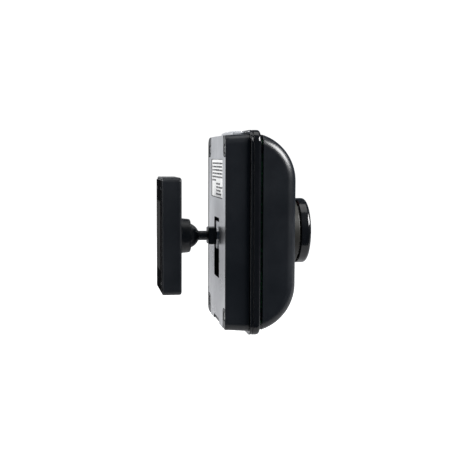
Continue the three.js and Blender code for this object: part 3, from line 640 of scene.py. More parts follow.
class DETECTOR_OT_finishes(bpy.types.Operator):
    """Makes the shader groups and every finish of the detector"""

    bl_idname = "detector.finishes"
    bl_label = "Finishes"

    def execute(self, context):
        tone = context.scene.detector_finish
        for make in (
            make_moulded_grain, make_brushed_lines, make_handled_gloss, make_rubbed_edges, make_settled_dust,
        ):
            make()
        case = tuple(tone.case)
        surface("black_case", case, 0.32, vary=0.03, grain=tone.grain)
        surface("black_gloss", tuple(tone.gloss), 0.16, vary=0.03, grain=0.03, wear=0.15)
        surface("black_mount", shade(case, 1.3), 0.4, grain=tone.grain * 1.4)
        # painted shade: a flat black that reflects nothing, coloured onto faces in place of the shade that falls
        # on them
        surface("painted_shade_black", (0.004, 0.004, 0.0044), 0.75, wear=0.0, Specular_IOR_Level=0.0)
        surface("warm_grey", (0.02, 0.019, 0.016), 0.42, grain=tone.grain)
        surface(
            "silver_plate", tuple(tone.silver), 0.3, vary=0.03, worn=1.1, dust=0.0, grain=0.03, size=1400.0,
            metallic=0.9,
        )
        surface("bright_plated", tuple(tone.bright), 0.34, worn=1.1, grain=0.05, metallic=0.9)
        surface(
            "screw_steel", tuple(tone.steel), 0.26, vary=0.08, worn=1.2, dust=0.02, grain=0.18, size=1800.0,
            pattern="brushed_lines", metallic=1.0,
        )
        surface(
            "cast_metal", (0.45, 0.46, 0.47), 0.5, vary=0.08, worn=1.3, grain=0.6, size=1500.0, metallic=0.9,
        )
        surface(
            "rubber", (0.009, 0.009, 0.009), 0.78, vary=0.08, wear=0.2, grain=0.35, size=1900.0,
            Specular_IOR_Level=0.08,
        )
        clear_coat = {"vary": 0.02, "wear": 0.0, "grain": 0.0, "Coat_Weight": 0.6}
        surface("smoked_window", (0.006, 0.006, 0.0075), 0.06, **clear_coat)
        surface("alert_smoke", (0.09, 0.004, 0.003), 0.07, **clear_coat)
        surface("label_ink", tuple(tone.ink), 0.6, wear=0.0, dust=0.0, grain=0.1)
        make_floor_paint()
        make_label_paper(tuple(tone.paper))
        make_circuit_board()
        make_clear_plastic()
        return {"FINISHED"}


# ---------------------------------------------------------------- casing


def middle(node_name):
    low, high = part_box(node_name)
    return (low + high) / 2


def half_width(node_name):
    low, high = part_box(node_name)
    return (high.x - low.x) / 2


def hole(name, radius, back, front, x, z, steps=40):
    """A straight round tool for a bore along Y."""
    return turned(name, [(0, back), (radius, back), (radius, front), (0, front)], x, z, steps)


def screw_places(kind):
    return [middle(f"{kind}_{i}") for i in range(1, 5)]


class DETECTOR_OT_rear_shell(bpy.types.Operator):
    """Moulds the rear shell, with its corner pads, screw wells, hook pocket and openings"""

    bl_idname = "detector.rear_shell"
    bl_label = "Rear shell"

    def execute(self, context):
        look = context.scene.detector_casing
        plate = context.scene.detector_plate
        low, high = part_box("rear_shell")
        face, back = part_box("back_plate")
        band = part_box("trim_band")[1].y
        wall_back = face.y - GAP
        middle_z = (low.z + high.z) / 2
        shell = rounded("rear_shell_skin", low, (high.x, back.y, high.z), look.corner, steps=12)
        draft = (back.x + GAP) / high.x
        with editing(shell):
            pick(shell, "FACE", lies_at(1, back.y))
            bpy.ops.transform.resize(value=(draft, 1, draft), center_override=(0, back.y, middle_z))
        round_rim(shell, 1, back.y, look.lip_round)
        close = 0.05 * MM
        seat = window("plate_seat", face, back, wall_back, back.y + MM, look.corner - GAP, 12, close)
        carve(shell, seat)
        with editing(shell):
            pick(shell, "FACE", lies_at(1, low.y))
            bpy.ops.mesh.inset(thickness=look.wall)
            depth = wall_back - low.y - look.wall
            bpy.ops.mesh.extrude_region_move(TRANSFORM_OT_translate={"value": (0, depth, 0)})
        pad_face = back.y - GAP
        inner_x = plate.notch_width - GAP
        inner_z = plate.notch_height - GAP
        for sx, sz in CORNERS:
            edge_x = back.x - close
            edge_z = (back.z if sz > 0 else -face.z + 2 * middle_z) - middle_z - close
            corner = Vector((sx * edge_x, 0, middle_z + sz * edge_z))
            inner = corner - Vector((sx * inner_x, 0, sz * inner_z))
            pad = rounded(
                "pad",
                (min(corner.x, inner.x), wall_back - look.wall / 2, min(corner.z, inner.z)),
                (max(corner.x, inner.x), pad_face, max(corner.z, inner.z)),
                plate.notch_round, steps=8,
            )
            round_rim(pad, 1, pad_face, 0.35 * MM, 2)
            weld(shell, pad)
        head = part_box("rear_screw_1")[1].x - middle("rear_screw_1").x + GAP
        for spot in screw_places("rear_screw"):
            well = hole("well", head, pad_face + MM, pad_face - 1.5 * MM, spot.x, spot.z)
            bore = hole("bore", 1.7 * MM, pad_face, wall_back - 2 * look.wall, spot.x, spot.z, 24)
            carve(shell, well, bore)
        self.cut_openings(shell, wall_back, band)
        finish(shell, "black_case", "rear_shell")
        return {"FINISHED"}

    def cut_openings(self, shell, wall_back, band):
        """Opens the hook's pocket, the keeper's seat and the places of the keys and the inlet."""
        keeper_low, keeper_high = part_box("hook_keeper")
        rim = 1.5 * MM
        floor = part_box("hook_head")[0].y - 2.4 * MM
        weld(shell, window("pocket", *window_box(), floor - rim, wall_back - MM, 2 * MM, 4, rim))
        carve(shell, window("mouth", *window_box(), floor, wall_back + MM, MM, 4))
        gap = Vector((0.3, 0.3, 0.3)) * MM
        seat = keeper_high + gap
        carve(shell, block("seat", keeper_low - gap, (seat.x, wall_back + MM, seat.z)))
        key_low, key_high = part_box("key_bezel")
        overlap = 0.7 * MM
        carve(shell, block("keys", (key_low.x + overlap, band - MM, key_low.z - MM),
                           (key_high.x - overlap, key_high.y + GAP, key_high.z + MM)))
        power_low, power_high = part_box("power_socket")
        carve(shell, block("power", power_low - Vector((0.3, 0.3, 4)) * MM,
                           (power_high.x + gap.x, power_high.y + gap.y, power_low.z + 3 * MM)))


def window_box():
    """The opening that the hook goes in by, from the record's opening and the keeper's place."""
    opening = frame["record"]["physics"]["openings"][0]["box_m"]
    side = 9.4 * MM
    above = 10.4 * MM
    return Vector((-side, 0, opening[0][2] - GAP)), Vector((side, 0, middle("hook_keeper").z + above))


class DETECTOR_OT_back_plate(bpy.types.Operator):
    """Stamps the silver back plate with its notches and windows"""

    bl_idname = "detector.back_plate"
    bl_label = "Back plate"

    def execute(self, context):
        plate = context.scene.detector_plate
        corner = context.scene.detector_casing.corner
        low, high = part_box("back_plate")
        face = high.y - plate.sunk
        sheet = rounded("back_plate_sheet", low, (high.x, face, high.z), corner - GAP, steps=12)
        through = (low.y - MM, high.y + MM)
        w, h = plate.notch_width, plate.notch_height
        for x in (low.x, high.x):
            for z in (low.z, high.z):
                low_end, high_end = (x - w, through[0], z - h), (x + w, through[1], z + h)
                carve(sheet, rounded("notch", low_end, high_end, plate.notch_round, steps=8))
        half = plate.slot_width / 2
        bottom, top = low.z - plate.slot_height, low.z + plate.slot_height
        slot = (Vector((-half, 0, bottom)), Vector((half, 0, top)))
        for opening, gap in ((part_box("rating_label"), GAP), (window_box(), 0.0), (slot, 0.0)):
            carve(sheet, window("opening", *opening, *through, 0.9 * MM, 4, gap))
        soften(sheet, plate.edge)
        finish(sheet, "silver_plate", "back_plate")
        # painted shade: the plate's cut edges and rims are coloured flat black in place of the shade on them
        paint_faces(sheet, "painted_shade_black", lambda face: abs(face.normal.y) < 0.6)
        return {"FINISHED"}


# the label's print: where rows start and end and how long words are, as shares of its width
LABEL_ROWS = 10
FULL_ROW = (0.04, 0.95)
SHORT_ROWS = {5: (0.04, 0.38), 6: (0.41, 0.74), 7: (0.41, 0.95), 8: (0.41, 0.83), 9: (0.38, 0.86)}
WORDS = (0.13, 0.07, 0.1, 0.05, 0.15, 0.08, 0.11)
SPACE = 0.018
FIRST_ROW = 0.1  # share of the label's height
ROW_PITCH = 0.091


class DETECTOR_OT_label(bpy.types.Operator):
    """Lays the white rating label and its plain printed bars"""

    bl_idname = "detector.label"
    bl_label = "Rating label"

    def execute(self, context):
        low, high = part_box("rating_label")
        size = high - low
        film = rounded("rating_label_film", low, high, 0.65 * MM, steps=5)
        round_rim(film, 1, high.y, 0.05 * MM, 2)
        bars = []
        half = 0.5 * MM
        for row in range(LABEL_ROWS):
            start, end = SHORT_ROWS.get(row, FULL_ROW)
            z = high.z - size.z * (FIRST_ROW + ROW_PITCH * row)
            word = row
            while start < end - 0.02:
                stop = min(end, start + WORDS[word % len(WORDS)])
                bars.append(rounded(
                    "bar", (high.x - size.x * stop, high.y - 0.01 * MM, z - half),
                    (high.x - size.x * start, high.y + 0.015 * MM, z + half), 0.2 * MM, steps=2,
                ))
                start = stop + SPACE
                word += 3
        join(film, bars)
        finish(film, "label_paper", "rating_label")
        paint_faces(film, "label_ink", lambda face: face.center.y > high.y + 0.001 * MM)
        return {"FINISHED"}


class DETECTOR_OT_keeper(bpy.types.Operator):
    """Stamps the steel keeper that the hook slides up behind"""

    bl_idname = "detector.keeper"
    bl_label = "Hook keeper"

    def execute(self, context):
        low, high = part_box("hook_keeper")
        keeper = rounded("hook_keeper_steel", low, high, 0.8 * MM, steps=5)
        half = 2.85 * MM
        middle_z = middle("hook_block").z
        carve(keeper, block("slot", (-half, low.y - MM, low.z - MM), (half, high.y + MM, middle_z)),
              hole("slot_end", half, high.y + MM, low.y - MM, 0, middle_z))
        soften(keeper, 0.15 * MM)
        finish(keeper, "bright_plated", "hook_keeper")
        return {"FINISHED"}


class DETECTOR_OT_trim_band(bpy.types.Operator):
    """Moulds the raised band with its rib, groove and rounded front"""

    bl_idname = "detector.trim_band"
    bl_label = "Trim band"

    def execute(self, context):
        look = context.scene.detector_casing
        low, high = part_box("trim_band")
        proud = 2 * MM
        band = rounded("trim_band_moulding", low, high, look.corner + proud, steps=16)
        cuts = [high.y - look.rib_width, high.y - look.rib_width - look.groove_width]
        with editing(band):
            for y in cuts:
                slice_across(y)
            pick(band, "FACE", lambda f: cuts[1] < f.calc_center_median().y < cuts[0])
            bpy.ops.mesh.extrude_region_shrink_fatten(
                TRANSFORM_OT_shrink_fatten={"value": -look.groove_depth}
            )
            pick(band, "EDGE", lambda e: self.is_lip(e, cuts, high.y))
            bevel_edges(0.25 * MM, 3)
        round_rim(band, 1, low.y, look.band_round, 6)
        wall = proud + look.wall
        carve(band, window("bore", low, high, low.y - MM, high.y + MM, look.corner - MM, 8, -wall))
        finish(band, "black_gloss", "trim_band")
        return {"FINISHED"}

    def is_lip(self, edge, cuts, back):
        """The outer edges of the groove and of the band's back."""
        if edge.calc_face_angle(0) < 0.5:
            return False
        ys = [v.co.y for v in edge.verts]
        level = abs(ys[0] - ys[1]) < TINY
        if not level or not any(abs(ys[0] - y) < 10 * TINY for y in (*cuts, back)):
            return False
        normals = [f.normal for f in edge.link_faces]
        outward = Vector((edge.verts[0].co.x, 0, edge.verts[0].co.z))
        return any(n.dot(outward) > 0 and abs(n.y) < 0.1 for n in normals) and edge.is_convex


def cover_form(name, look, inset, back):
    """The front cover's outer form, or the hollow inside it, from the band's plane forwards."""
    low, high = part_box("front_cover")
    band_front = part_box("trim_band")[0].y
    depth = band_front - low.y
    lift = look.cover_arc - depth
    start = math.asin(lift / look.cover_arc)
    middle_z = (low.z + high.z) / 2
    half_z = (high.z - low.z) / 2 + look.cover_arc * (1 - math.cos(start))
    arc_radius = look.cover_arc - inset
    rear = low.y + look.cover_arc + 4 * MM
    form = block(
        name,
        (low.x + inset, low.y + inset, middle_z - half_z + inset),
        (high.x - inset, rear, middle_z + half_z - inset),
    )
    with editing(form):
        pick(form, "EDGE", lambda e: runs_along(0)(e) and lies_at(1, low.y + inset)(e))
        bevel_edges(arc_radius, 40)
        sides = [low.x + inset, high.x - inset]
        pick(form, "EDGE", lambda e: any(lies_at(0, s)(e) for s in sides) and not lies_at(1, rear)(e))
        bevel_edges(look.cover_edge - inset / 2, 12)
        slice_across(back, use_fill=True, clear_outer=True)
        select_whole()
        bpy.ops.mesh.normals_make_consistent(inside=False)
    return form


class DETECTOR_OT_front_cover(bpy.types.Operator):
    """Moulds the domed front cover with its window, sound slots and shaft hole"""

    bl_idname = "detector.front_cover"
    bl_label = "Front cover"

    def execute(self, context):
        look = context.scene.detector_casing
        low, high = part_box("front_cover")
        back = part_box("trim_band")[0].y - GAP
        line = back - look.gap_width
        cover = cover_form("front_cover_moulding", look, 0, line)
        with editing(cover):
            pick(cover, "FACE", lies_at(1, line))
            bpy.ops.mesh.inset(thickness=look.gap_depth)
            bpy.ops.mesh.extrude_region_move(TRANSFORM_OT_translate={"value": (0, look.gap_width, 0)})
        carve(cover, cover_form("hollow", look, look.wall, back + 2 * MM))
        far = high.y
        radius = look.post_radius
        root = low.y + look.post_root
        deep = far - 11 * MM
        post = [(0, root), (radius, root), (radius, far), (PILOT, far), (PILOT, deep), (0, deep)]
        for spot in screw_places("rear_screw"):
            weld(cover, turned("post", post, spot.x, spot.z, 32))
        self.cut_face(cover, low)
        soften(cover, 0.2 * MM, 3)
        finish(cover, "black_case", "front_cover")
        return {"FINISHED"}

    def cut_face(self, cover, low):
        """Opens the alert window, the shaft hole and the sound slots."""
        before = low.y - MM
        behind = low.y + 6 * MM
        carve(cover, window("alert", *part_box("alert_window"), before, behind, 2 * MM, 6, GAP))
        shaft = middle("encoder_shaft")
        carve(cover, hole("shaft", 3.6 * MM, behind, before, shaft.x, shaft.z))
        speaker = middle("speaker")
        slots, pitch, half_w, half_h = 5, 2.6 * MM, 7.5 * MM, 0.65 * MM
        for i in range(slots):
            z = speaker.z + (i - (slots - 1) / 2) * pitch
            carve(cover, rounded(
                "slot", (speaker.x - half_w, before, z - half_h), (speaker.x + half_w, behind, z + half_h),
                0.6 * MM, steps=5,
            ))


def cross_screw(name, node_name):
    """A pan-head screw with a cross recess, its head towards +Y."""
    low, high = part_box(node_name)
    centre = (low + high) / 2
    radius = (high.x - low.x) / 2
    thick = radius * 0.46
    shank = radius * 0.54
    head = arc((0, high.y - radius * 2.4), radius * 2.4, 0, 22, 5)
    rim = [(radius, high.y - thick * 0.45), (radius, high.y - thick), (shank, high.y - thick)]
    tip = [(shank, low.y + shank), (0, low.y)]
    screw = turned(name, [*head, *rim, *tip], centre.x, centre.z, 32)
    reach, half = radius * 0.58, radius * 0.15
    bottom = high.y - thick * 0.7
    for w, h in ((reach, half), (half, reach)):
        slot = block("slot", (centre.x - w, bottom, centre.z - h), (centre.x + w, high.y + MM, centre.z + h))
        with editing(slot):
            pick(slot, "FACE", lies_at(1, bottom))
            bpy.ops.transform.resize(value=(0.6, 1, 0.6), center_override=(centre.x, bottom, centre.z))
        carve(screw, slot)
    return screw, centre


class DETECTOR_OT_screws(bpy.types.Operator):
    """Turns one screw of each size and copies it to its places"""

    bl_idname = "detector.screws"
    bl_label = "Screws"

    def execute(self, context):
        for kind in ("rear_screw", "base_screw"):
            first, start = cross_screw(f"{kind}_1_steel", f"{kind}_1")
            copies = [twin(first, f"{kind}_{i}_steel", middle(f"{kind}_{i}") - start) for i in range(2, 5)]
            for i, screw in enumerate([first, *copies], 1):
                finish(screw, "screw_steel", f"{kind}_{i}")
        return {"FINISHED"}


# ---------------------------------------------------------------- dial, keys and inlet


class DETECTOR_OT_dial(bpy.types.Operator):
    """Turns the fixed collar, the dial ring with its pointer groove and the domed cap"""

    bl_idname = "detector.dial"
    bl_label = "Dial"

    def execute(self, context):
        look = context.scene.detector_dial
        collar_low, collar_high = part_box("dial_collar")
        ring_low, ring_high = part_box("dial_ring")
        cap_low, cap_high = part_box("dial_cap")
        z = middle("dial_ring").z
        radius = half_width("dial_ring")
        inner = radius - 3 * MM
        foot = collar_high.y - 0.8 * MM
        collar = turned("dial_collar_ring", [
            (inner, collar_high.y), (radius, collar_high.y), (radius, foot),
            (radius - 0.25 * MM, foot - 0.1 * MM),
            *arc((radius - 0.65 * MM, collar_low.y + 0.4 * MM), 0.4 * MM, 90, 180, 4),
            (inner, collar_low.y), (inner, collar_high.y),
        ], z=z, steps=96)
        finish(collar, "warm_grey", "dial_collar")
        cap_seat = half_width("dial_cap") + GAP
        web = cap_high.y + GAP
        skirt = radius - 2 * MM
        back = ring_high.y - 0.6 * MM
        web_back = web + 1.6 * MM
        hub = 4.9 * MM
        bore = 3.3 * MM
        front = ring_low.y
        ring = turned("dial_ring_gloss", [
            (skirt, back), (radius - 0.3 * MM, back), (radius, back - 0.3 * MM),
            *arc((radius - look.edge, front + look.edge), look.edge, 90, 180, 10),
            (cap_seat + 0.5 * MM, front),
            *arc((cap_seat + 0.5 * MM, front + 0.5 * MM), 0.5 * MM, 180, 270, 4),
            (cap_seat, web), (bore, web), (bore, ring_high.y), (hub, ring_high.y), (hub, web_back),
            (skirt, web_back), (skirt, back),
        ], z=z, steps=96)
        half = look.mark_width / 2
        carve(ring, rounded("mark", (-half, front - MM, z + cap_seat + 1.2 * MM),
                            (half, front + 0.4 * MM, z + radius - 0.6 * MM), half * 0.9, steps=4))
        finish(ring, "black_gloss", "dial_ring")
        rim = cap_seat - GAP
        crown = [
            (out * rim, cap_low.y + look.dome * out ** 2) for out in (1, 0.85, 0.7, 0.55, 0.4, 0.25, 0.12, 0)
        ]
        cap = turned("dial_cap_smoked", [(0, cap_high.y), (rim, cap_high.y), *crown], z=z, steps=96)
        soften(cap, 0.15 * MM)
        finish(cap, "smoked_window", "dial_cap")
        return {"FINISHED"}


class DETECTOR_OT_keys(bpy.types.Operator):
    """Makes the bright strip on the top and the three keys in it"""

    bl_idname = "detector.keys"
    bl_label = "Keys"

    def execute(self, context):
        low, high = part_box("key_bezel")
        names = ("key_1", "key_2", "key_3")
        lip = 0.6 * MM
        under = high.z - 3 * MM
        gap = 0.35 * MM
        strip = rounded("key_bezel_strip", (low.x + MM, low.y, low.z), (high.x - MM, high.y, high.z),
                        lip, axis=2, steps=5)
        round_rim(strip, 2, high.z, 0.35 * MM)
        for name in names:
            key_low, key_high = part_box(name)
            carve(strip, rounded(
                "well", (key_low.x - gap, key_low.y - gap, under),
                (key_high.x + gap, key_high.y + gap, high.z + MM), lip, axis=2, steps=4,
            ))
            carve(strip, hole_up("stem", 1.6 * MM, low.z - MM, high.z, middle(name)))
        flange = rounded("flange", low, (high.x, high.y, low.z + 0.9 * MM), lip, axis=2, steps=3)
        for name in names:
            carve(flange, hole_up("stem", 1.6 * MM, low.z - MM, high.z, middle(name)))
        weld(strip, flange)
        finish(strip, "bright_plated", "key_bezel")
        for name in names:
            self.make_key(name, lip)
        return {"FINISHED"}

    def make_key(self, name, corner):
        """One key: its cap, the stem that presses the switch, and the dimple on top."""
        low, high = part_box(name)
        centre = middle(name)
        cap_floor = high.z - 2.9 * MM
        key = rounded(f"{name}_cap", (low.x, low.y, cap_floor), high, corner, axis=2, steps=5)
        round_rim(key, 2, high.z, 0.45 * MM, 4)
        half = 1.15 * MM
        weld(key, block("stem", (centre.x - half, centre.y - half, low.z),
                        (centre.x + half, centre.y + half, cap_floor + 0.5 * MM)))
        carve(key, hole_up("dimple", 1.3 * MM, high.z - 0.15 * MM, high.z + MM, centre))
        soften(key, 0.06 * MM)
        finish(key, "bright_plated", name)


def hole_up(name, radius, low, high, centre):
    """A straight round tool for a bore along Z."""
    deselect_all()
    bpy.ops.mesh.primitive_cylinder_add(
        vertices=32, radius=radius, depth=high - low, location=(centre.x, centre.y, (low + high) / 2)
    )
    apply_place()
    bpy.context.object.name = name
    return bpy.context.object


class DETECTOR_OT_front_fittings(bpy.types.Operator):
    """Makes the alert window in the front and the power socket underneath"""

    bl_idname = "detector.front_fittings"
    bl_label = "Alert window and power socket"

    def execute(self, context):
        low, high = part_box("alert_window")
        lens = rounded("alert_window_lens", low, high, 1.7 * MM, steps=8)
        round_rim(lens, 1, low.y, 0.4 * MM, 4)
        finish(lens, "alert_smoke", "alert_window")
        low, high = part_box("power_socket")
        wall = 0.6 * MM
        socket = rounded("power_socket_shell", low, high, 0.8 * MM, axis=2, steps=5)
        carve(socket, rounded("mouth", (low.x + wall, low.y + wall, low.z - MM),
                              (high.x - wall, high.y - wall, high.z - 2 * wall), 0.5 * MM, axis=2, steps=4))
        half, inset = 2.6 * MM, 1.5 * MM
        weld(socket, rounded("tongue", (-half, low.y + inset, low.z + wall),
                             (half, high.y - inset, high.z - wall), 0.2 * MM, axis=2, steps=2))
        soften(socket, 0.08 * MM)
        finish(socket, "screw_steel", "power_socket")
        return {"FINISHED"}


# ---------------------------------------------------------------- mount


class DETECTOR_OT_base(bpy.types.Operator):
    """Moulds the mount's base, its gloss back plate and the foam pad"""

    bl_idname = "detector.base"
    bl_label = "Mount base"

    def execute(self, context):
        look = context.scene.detector_mount
        self.make_housing(look)
        low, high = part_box("base_back")
        plate = rounded("base_back_plate", low, high, 1.5 * MM, steps=8)
        round_rim(plate, 1, high.y, 0.2 * MM, 2)
        pad_low, pad_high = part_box("adhesive_pad")
        carve(plate, window("seat", pad_low, pad_high, pad_low.y - GAP, high.y + MM, 1.5 * MM, 6, GAP))
        head = half_width("base_screw_1") + GAP
        for spot in screw_places("base_screw"):
            carve(plate, hole("well", head, high.y + MM, high.y - 1.4 * MM, spot.x, spot.z, 32),
                  hole("bore", PILOT, high.y, low.y - MM, spot.x, spot.z, 24))
        finish(plate, "black_gloss", "base_back")
        # painted shade: the faces that look back are coloured the flat black that reflects nothing
        paint_faces(plate, "painted_shade_black", lambda face: face.normal.y > 0.95)
        pad = rounded("adhesive_pad_foam", pad_low, pad_high, 1.2 * MM, steps=6)
        with editing(pad):
            pick(pad, "FACE", lies_at(1, pad_high.y))
            bpy.ops.mesh.inset(thickness=0.5 * MM)
            bpy.ops.mesh.inset(thickness=0.2 * MM, depth=-0.08 * MM)
        finish(pad, "rubber", "adhesive_pad")
        return {"FINISHED"}

    def make_housing(self, look):
        """The housing with its recess, hollow, ball seat and screw posts."""
        low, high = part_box("base_housing")
        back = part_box("base_back")
        depth = 10.5 * MM
        front = high.y - depth
        housing = rounded("base_housing_moulding", (low.x, front, low.z), high, look.base_corner, steps=10)
        round_rim(housing, 1, front, look.base_edge, 6)
        round_rim(housing, 1, high.y, 0.4 * MM)
        seat = back[0].y - GAP
        wall = 2 * MM
        carve(housing, window("recess", *back, seat, high.y + MM, 1.8 * MM, 8, GAP))
        carve(housing, window("hollow", *back, front + wall, high.y, 1.5 * MM, 6, -wall))
        ball = ball_centre()
        boss = 8.4 * MM
        top = ball.y + GAP
        weld(housing, turned("boss", [(0, seat), (boss, seat), (boss, top), (0, top)], z=ball.z))
        cavity = 9.6 * MM
        edge = math.degrees(math.acos((ball.y - front) * -1 / cavity))
        carve(housing,
              turned("cavity", [*arc((0, ball.y), cavity, 0, edge, 10), (0, front)], z=ball.z),
              turned("ball_seat", arc((0, ball.y), ball_radius() + GAP, 0, 180, 24), z=ball.z))
        radius = 2.5 * MM
        top = front + MM
        post = [(0, seat), (radius, seat), (radius, top), (0, top)]
        for spot in screw_places("base_screw"):
            weld(housing, turned("post", post, spot.x, spot.z, 24))
            carve(housing, hole("bore", PILOT, high.y, front + 1.2 * MM, spot.x, spot.z, 20))
        finish(housing, "black_mount", "base_housing")


def ball_centre():
    joint = next(j for j in frame["joints"] if j["name"] == "mount_pan")
    return Vector(joint["pos_m"])


def ball_radius():
    return half_width("ball_stem")


class DETECTOR_OT_ball_joint(bpy.types.Operator):
    """Turns the clamp collar and the ball with its stem"""

    bl_idname = "detector.ball_joint"
    bl_label = "Ball joint"

    def execute(self, context):
        look = context.scene.detector_mount
        ball = ball_centre()
        radius = ball_radius()
        low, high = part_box("clamp_collar")
        outer = half_width("clamp_collar")
        nose = outer - 0.5 * MM
        inner = 8.7 * MM
        lip = [
            (math.sqrt((radius + 0.2 * MM) ** 2 - ahead ** 2), ball.y - ahead)
            for ahead in (2 * MM, 1.4 * MM, 0.7 * MM, 0)
        ]
        collar = turned("clamp_collar_ring", [
            (inner, high.y), (outer - 0.3 * MM, high.y), (outer, high.y - 0.3 * MM),
            (nose + 0.1 * MM, low.y + 1.3 * MM),
            *arc((nose - 0.9 * MM, low.y + 0.9 * MM), 0.9 * MM, 90, 180, 6),
            *lip, (inner, ball.y), (inner, high.y),
        ], z=ball.z, steps=72)
        finish(collar, "black_mount", "clamp_collar")
        block_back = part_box("hook_block")[1].y
        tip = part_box("ball_stem")[0].y
        stem = look.stem_radius
        neck = math.asin((stem + 0.35 * MM) / radius)
        neck_y = ball.y - radius * math.cos(neck)
        seat = stem - 0.5 * MM
        shoulder = block_back + 0.3 * MM
        arm = turned("ball_stem_moulding", [
            *arc((0, ball.y), radius, 0, 180 - math.degrees(neck), 24),
            (stem + 0.1 * MM, neck_y - 0.3 * MM), (stem, neck_y - 0.7 * MM), (stem, shoulder + 0.2 * MM),
            (stem - 0.2 * MM, shoulder), (seat, shoulder), (seat, tip), (0, tip),
        ], z=ball.z, steps=48)
        finish(arm, "black_mount", "ball_stem")
        return {"FINISHED"}


class DETECTOR_OT_hook(bpy.types.Operator):
    """Makes the hook block and the T-shaped head, with the sink and bore for its screw"""

    bl_idname = "detector.hook"
    bl_label = "Hook"

    def execute(self, context):
        look = context.scene.detector_mount
        ball = ball_centre()
        low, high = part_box("hook_block")
        body = rounded("hook_block_moulding", low, high, 0.8 * MM, steps=6)
        line = low.y + 1.7 * MM
        for y in (low.y, high.y):
            round_rim(body, 1, y, look.block_edge, 4)
        with editing(body):
            slice_across(line)
            pick(body, "EDGE", lies_at(1, line))
            bevel_edges(0.15 * MM, 2)
            pick(body, "EDGE", lies_at(1, line))
            bpy.ops.transform.resize(value=(0.96, 1, 0.96), center_override=(0, line, ball.z))
        carve(body, hole("seat", look.stem_radius - 0.2 * MM, high.y + MM, high.y - 3.3 * MM, 0, ball.z),
              hole("bore", PILOT, high.y, low.y - MM, 0, ball.z, 24))
        finish(body, "black_mount", "hook_block")
        low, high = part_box("hook_head")
        thick = 1.8 * MM
        half = 2.5 * MM
        back = low.y + thick
        head = rounded("hook_head_steel", low, (high.x, back, high.z), 1.2 * MM, steps=6)
        for y in (low.y, back):
            round_rim(head, 1, y, 0.3 * MM)
        weld(head, rounded("neck", (-half, low.y + thick / 2, ball.z - half), (half, high.y, ball.z + half),
                           0.4 * MM, steps=3))
        carve(head, hole("sink", 2.2 * MM, low.y + MM, low.y - MM, 0, ball.z, 32),
              hole("bore", PILOT, high.y + MM, low.y, 0, ball.z, 24))
        soften(head, 0.1 * MM)
        finish(head, "screw_steel", "hook_head")
        return {"FINISHED"}


class DETECTOR_OT_carried_over(bpy.types.Operator):
    """Gives the CAD nodes that stay as they are their finishes"""

    bl_idname = "detector.carried_over"
    bl_label = "Inner pieces"

    def execute(self, context):
        looks = {
            "cast_metal": ("pressure_cup", "encoder_body", "antenna_horn"),
            "rubber": ("friction_pad", "key_switch_1", "key_switch_2", "key_switch_3"),
            "screw_steel": ("hook_screw", "encoder_shaft", "mixer_can", "backup_cell"),
            "circuit_board": ("main_board", "key_board", "power_board"),
            "black_case": ("speaker",),
            "clear_plastic": ("light_pipe",),
        }
        for name, nodes in looks.items():
            for node_name in nodes:
                carried = frame["nodes"][node_name].data
                carried.materials.clear()
                carried.materials.append(material(name))
        return {"FINISHED"}


# ---------------------------------------------------------------- stage


def softbox(name, aim, direction, distance, size, strength):
    """A soft light that looks at the object from one direction."""
    data = bpy.data.lights.new(name, "AREA")
    data.shape = "RECTANGLE"
    data.size, data.size_y = size
    data.energy = strength * math.pi * size[0] * size[1]
    light = bpy.data.objects.new(name, data)
    bpy.context.scene.collection.objects.link(light)
    away = Vector(direction).normalized()
    turn = away.to_track_quat("Z", "Y").to_matrix().to_4x4()
    light.matrix_world = Matrix.Translation(aim + away * distance) @ turn


# each soft light: where it stands from the object, how far, its size and its strength
LIGHTS = {
    "overhead": ((0.0, -0.15, 1.0), 0.9, (0.6, 0.6), 1.6),
    "front_top": ((-0.47, -0.73, 0.52), 0.9, (0.52, 0.4), 27.0),
    "behind": ((0.25, 0.85, 0.45), 0.9, (0.5, 0.4), 13.0),
    "rear_edge": ((-0.18, 0.98, -0.04), 0.9, (0.2, 0.5), 5.0),
    "far_side": ((1.2, 0.2, 0.04), 1.25, (1.1, 1.5), 0.52),
}
FLOOR_MIDDLE = 0.75
FLOOR_SIZE = (1.7, 2.2)
REFLECTED_WALLS = (0.035, 0.05, 0.07, 1)
WHITE = (1.05, 1.05, 1.05, 1)
AIM_OFFSET = (0, -0.0002, -0.002)


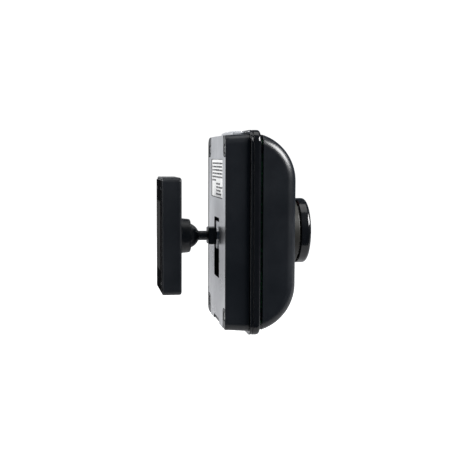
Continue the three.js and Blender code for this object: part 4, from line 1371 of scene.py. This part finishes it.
class DETECTOR_OT_stage(bpy.types.Operator):
    """Sets the pale floor, the soft studio light and the camera"""

    bl_idname = "detector.stage"
    bl_label = "Stage"

    def execute(self, context):
        look = context.scene.detector_stage
        low, high = CAD_BOX
        centre = (low + high) / 2
        self.make_floor(low.z - look.floor_drop)
        for name, placing in LIGHTS.items():
            softbox(name, centre, *placing)
        self.make_world(context.scene)
        self.make_camera(context.scene, look, centre)
        return {"FINISHED"}

    def make_floor(self, level):
        deselect_all()
        bpy.ops.mesh.primitive_plane_add(size=1, location=(FLOOR_MIDDLE, 0, level))
        floor = bpy.context.object
        floor.name = "floor"
        floor.scale = (*FLOOR_SIZE, 1)
        apply_place()
        floor.data.materials.append(material("floor_paint"))

    def make_world(self, scene):
        """White behind the object, and dim studio walls for what it reflects."""
        world = bpy.data.worlds.new("studio")
        world.use_nodes = True
        scene.world = world
        tree = world.node_tree
        background = tree.nodes["Background"]
        seen = tree.nodes.new("ShaderNodeLightPath").outputs["Is Camera Ray"]
        wire(tree, background.inputs["Color"], blend_colours(tree, seen, REFLECTED_WALLS, WHITE))
        scene.view_settings.view_transform = "Standard"

    def make_camera(self, scene, look, centre):
        az, el, roll = look.azimuth, look.elevation, look.roll
        sight = Vector((-math.sin(az) * math.cos(el), math.cos(az) * math.cos(el), -math.sin(el)))
        right = sight.cross(Vector((0, 0, 1))).normalized()
        up = right.cross(sight)
        turned_right = math.cos(roll) * right + math.sin(roll) * up
        turned_up = turned_right.cross(sight)
        data = bpy.data.cameras.new("camera")
        data.sensor_width = 36
        data.lens = look.lens
        data.clip_start = 0.01
        camera = bpy.data.objects.new("camera", data)
        scene.collection.objects.link(camera)
        aim = centre + Vector(AIM_OFFSET)
        turn = Matrix((turned_right, turned_up, -sight)).transposed().to_4x4()
        camera.matrix_world = Matrix.Translation(aim - sight * look.distance) @ turn
        scene.camera = camera


# ---------------------------------------------------------------- add-on


PIECES = (
    DETECTOR_OT_finishes,
    DETECTOR_OT_rear_shell,
    DETECTOR_OT_back_plate,
    DETECTOR_OT_label,
    DETECTOR_OT_keeper,
    DETECTOR_OT_trim_band,
    DETECTOR_OT_front_cover,
    DETECTOR_OT_screws,
    DETECTOR_OT_dial,
    DETECTOR_OT_keys,
    DETECTOR_OT_front_fittings,
    DETECTOR_OT_base,
    DETECTOR_OT_ball_joint,
    DETECTOR_OT_hook,
    DETECTOR_OT_carried_over,
    DETECTOR_OT_stage,
)


class DETECTOR_PT_maker(bpy.types.Panel):
    """Lists the detector's pieces and their settings"""

    bl_idname = "DETECTOR_PT_maker"
    bl_label = "Radar detector"
    bl_space_type = "VIEW_3D"
    bl_region_type = "UI"
    bl_category = "Detector"

    def draw(self, context):
        for name, group in SETTINGS.items():
            column = self.layout.column(align=True)
            for key in group.__annotations__:
                column.prop(getattr(context.scene, name), key)
        for operator in PIECES:
            self.layout.operator(operator.bl_idname)


CLASSES = (*SETTINGS.values(), *PIECES, DETECTOR_PT_maker)


def register():
    for made in CLASSES:
        bpy.utils.register_class(made)
    for name, group in SETTINGS.items():
        setattr(bpy.types.Scene, name, bpy.props.PointerProperty(type=group))


def unregister():
    for name in SETTINGS:
        delattr(bpy.types.Scene, name)
    for made in reversed(CLASSES):
        bpy.utils.unregister_class(made)


def main():
    register()
    for operator in PIECES:
        group, name = operator.bl_idname.split(".")
        getattr(getattr(bpy.ops, group), name)()
    deselect_all()


if __name__ == "__main__":
    main()
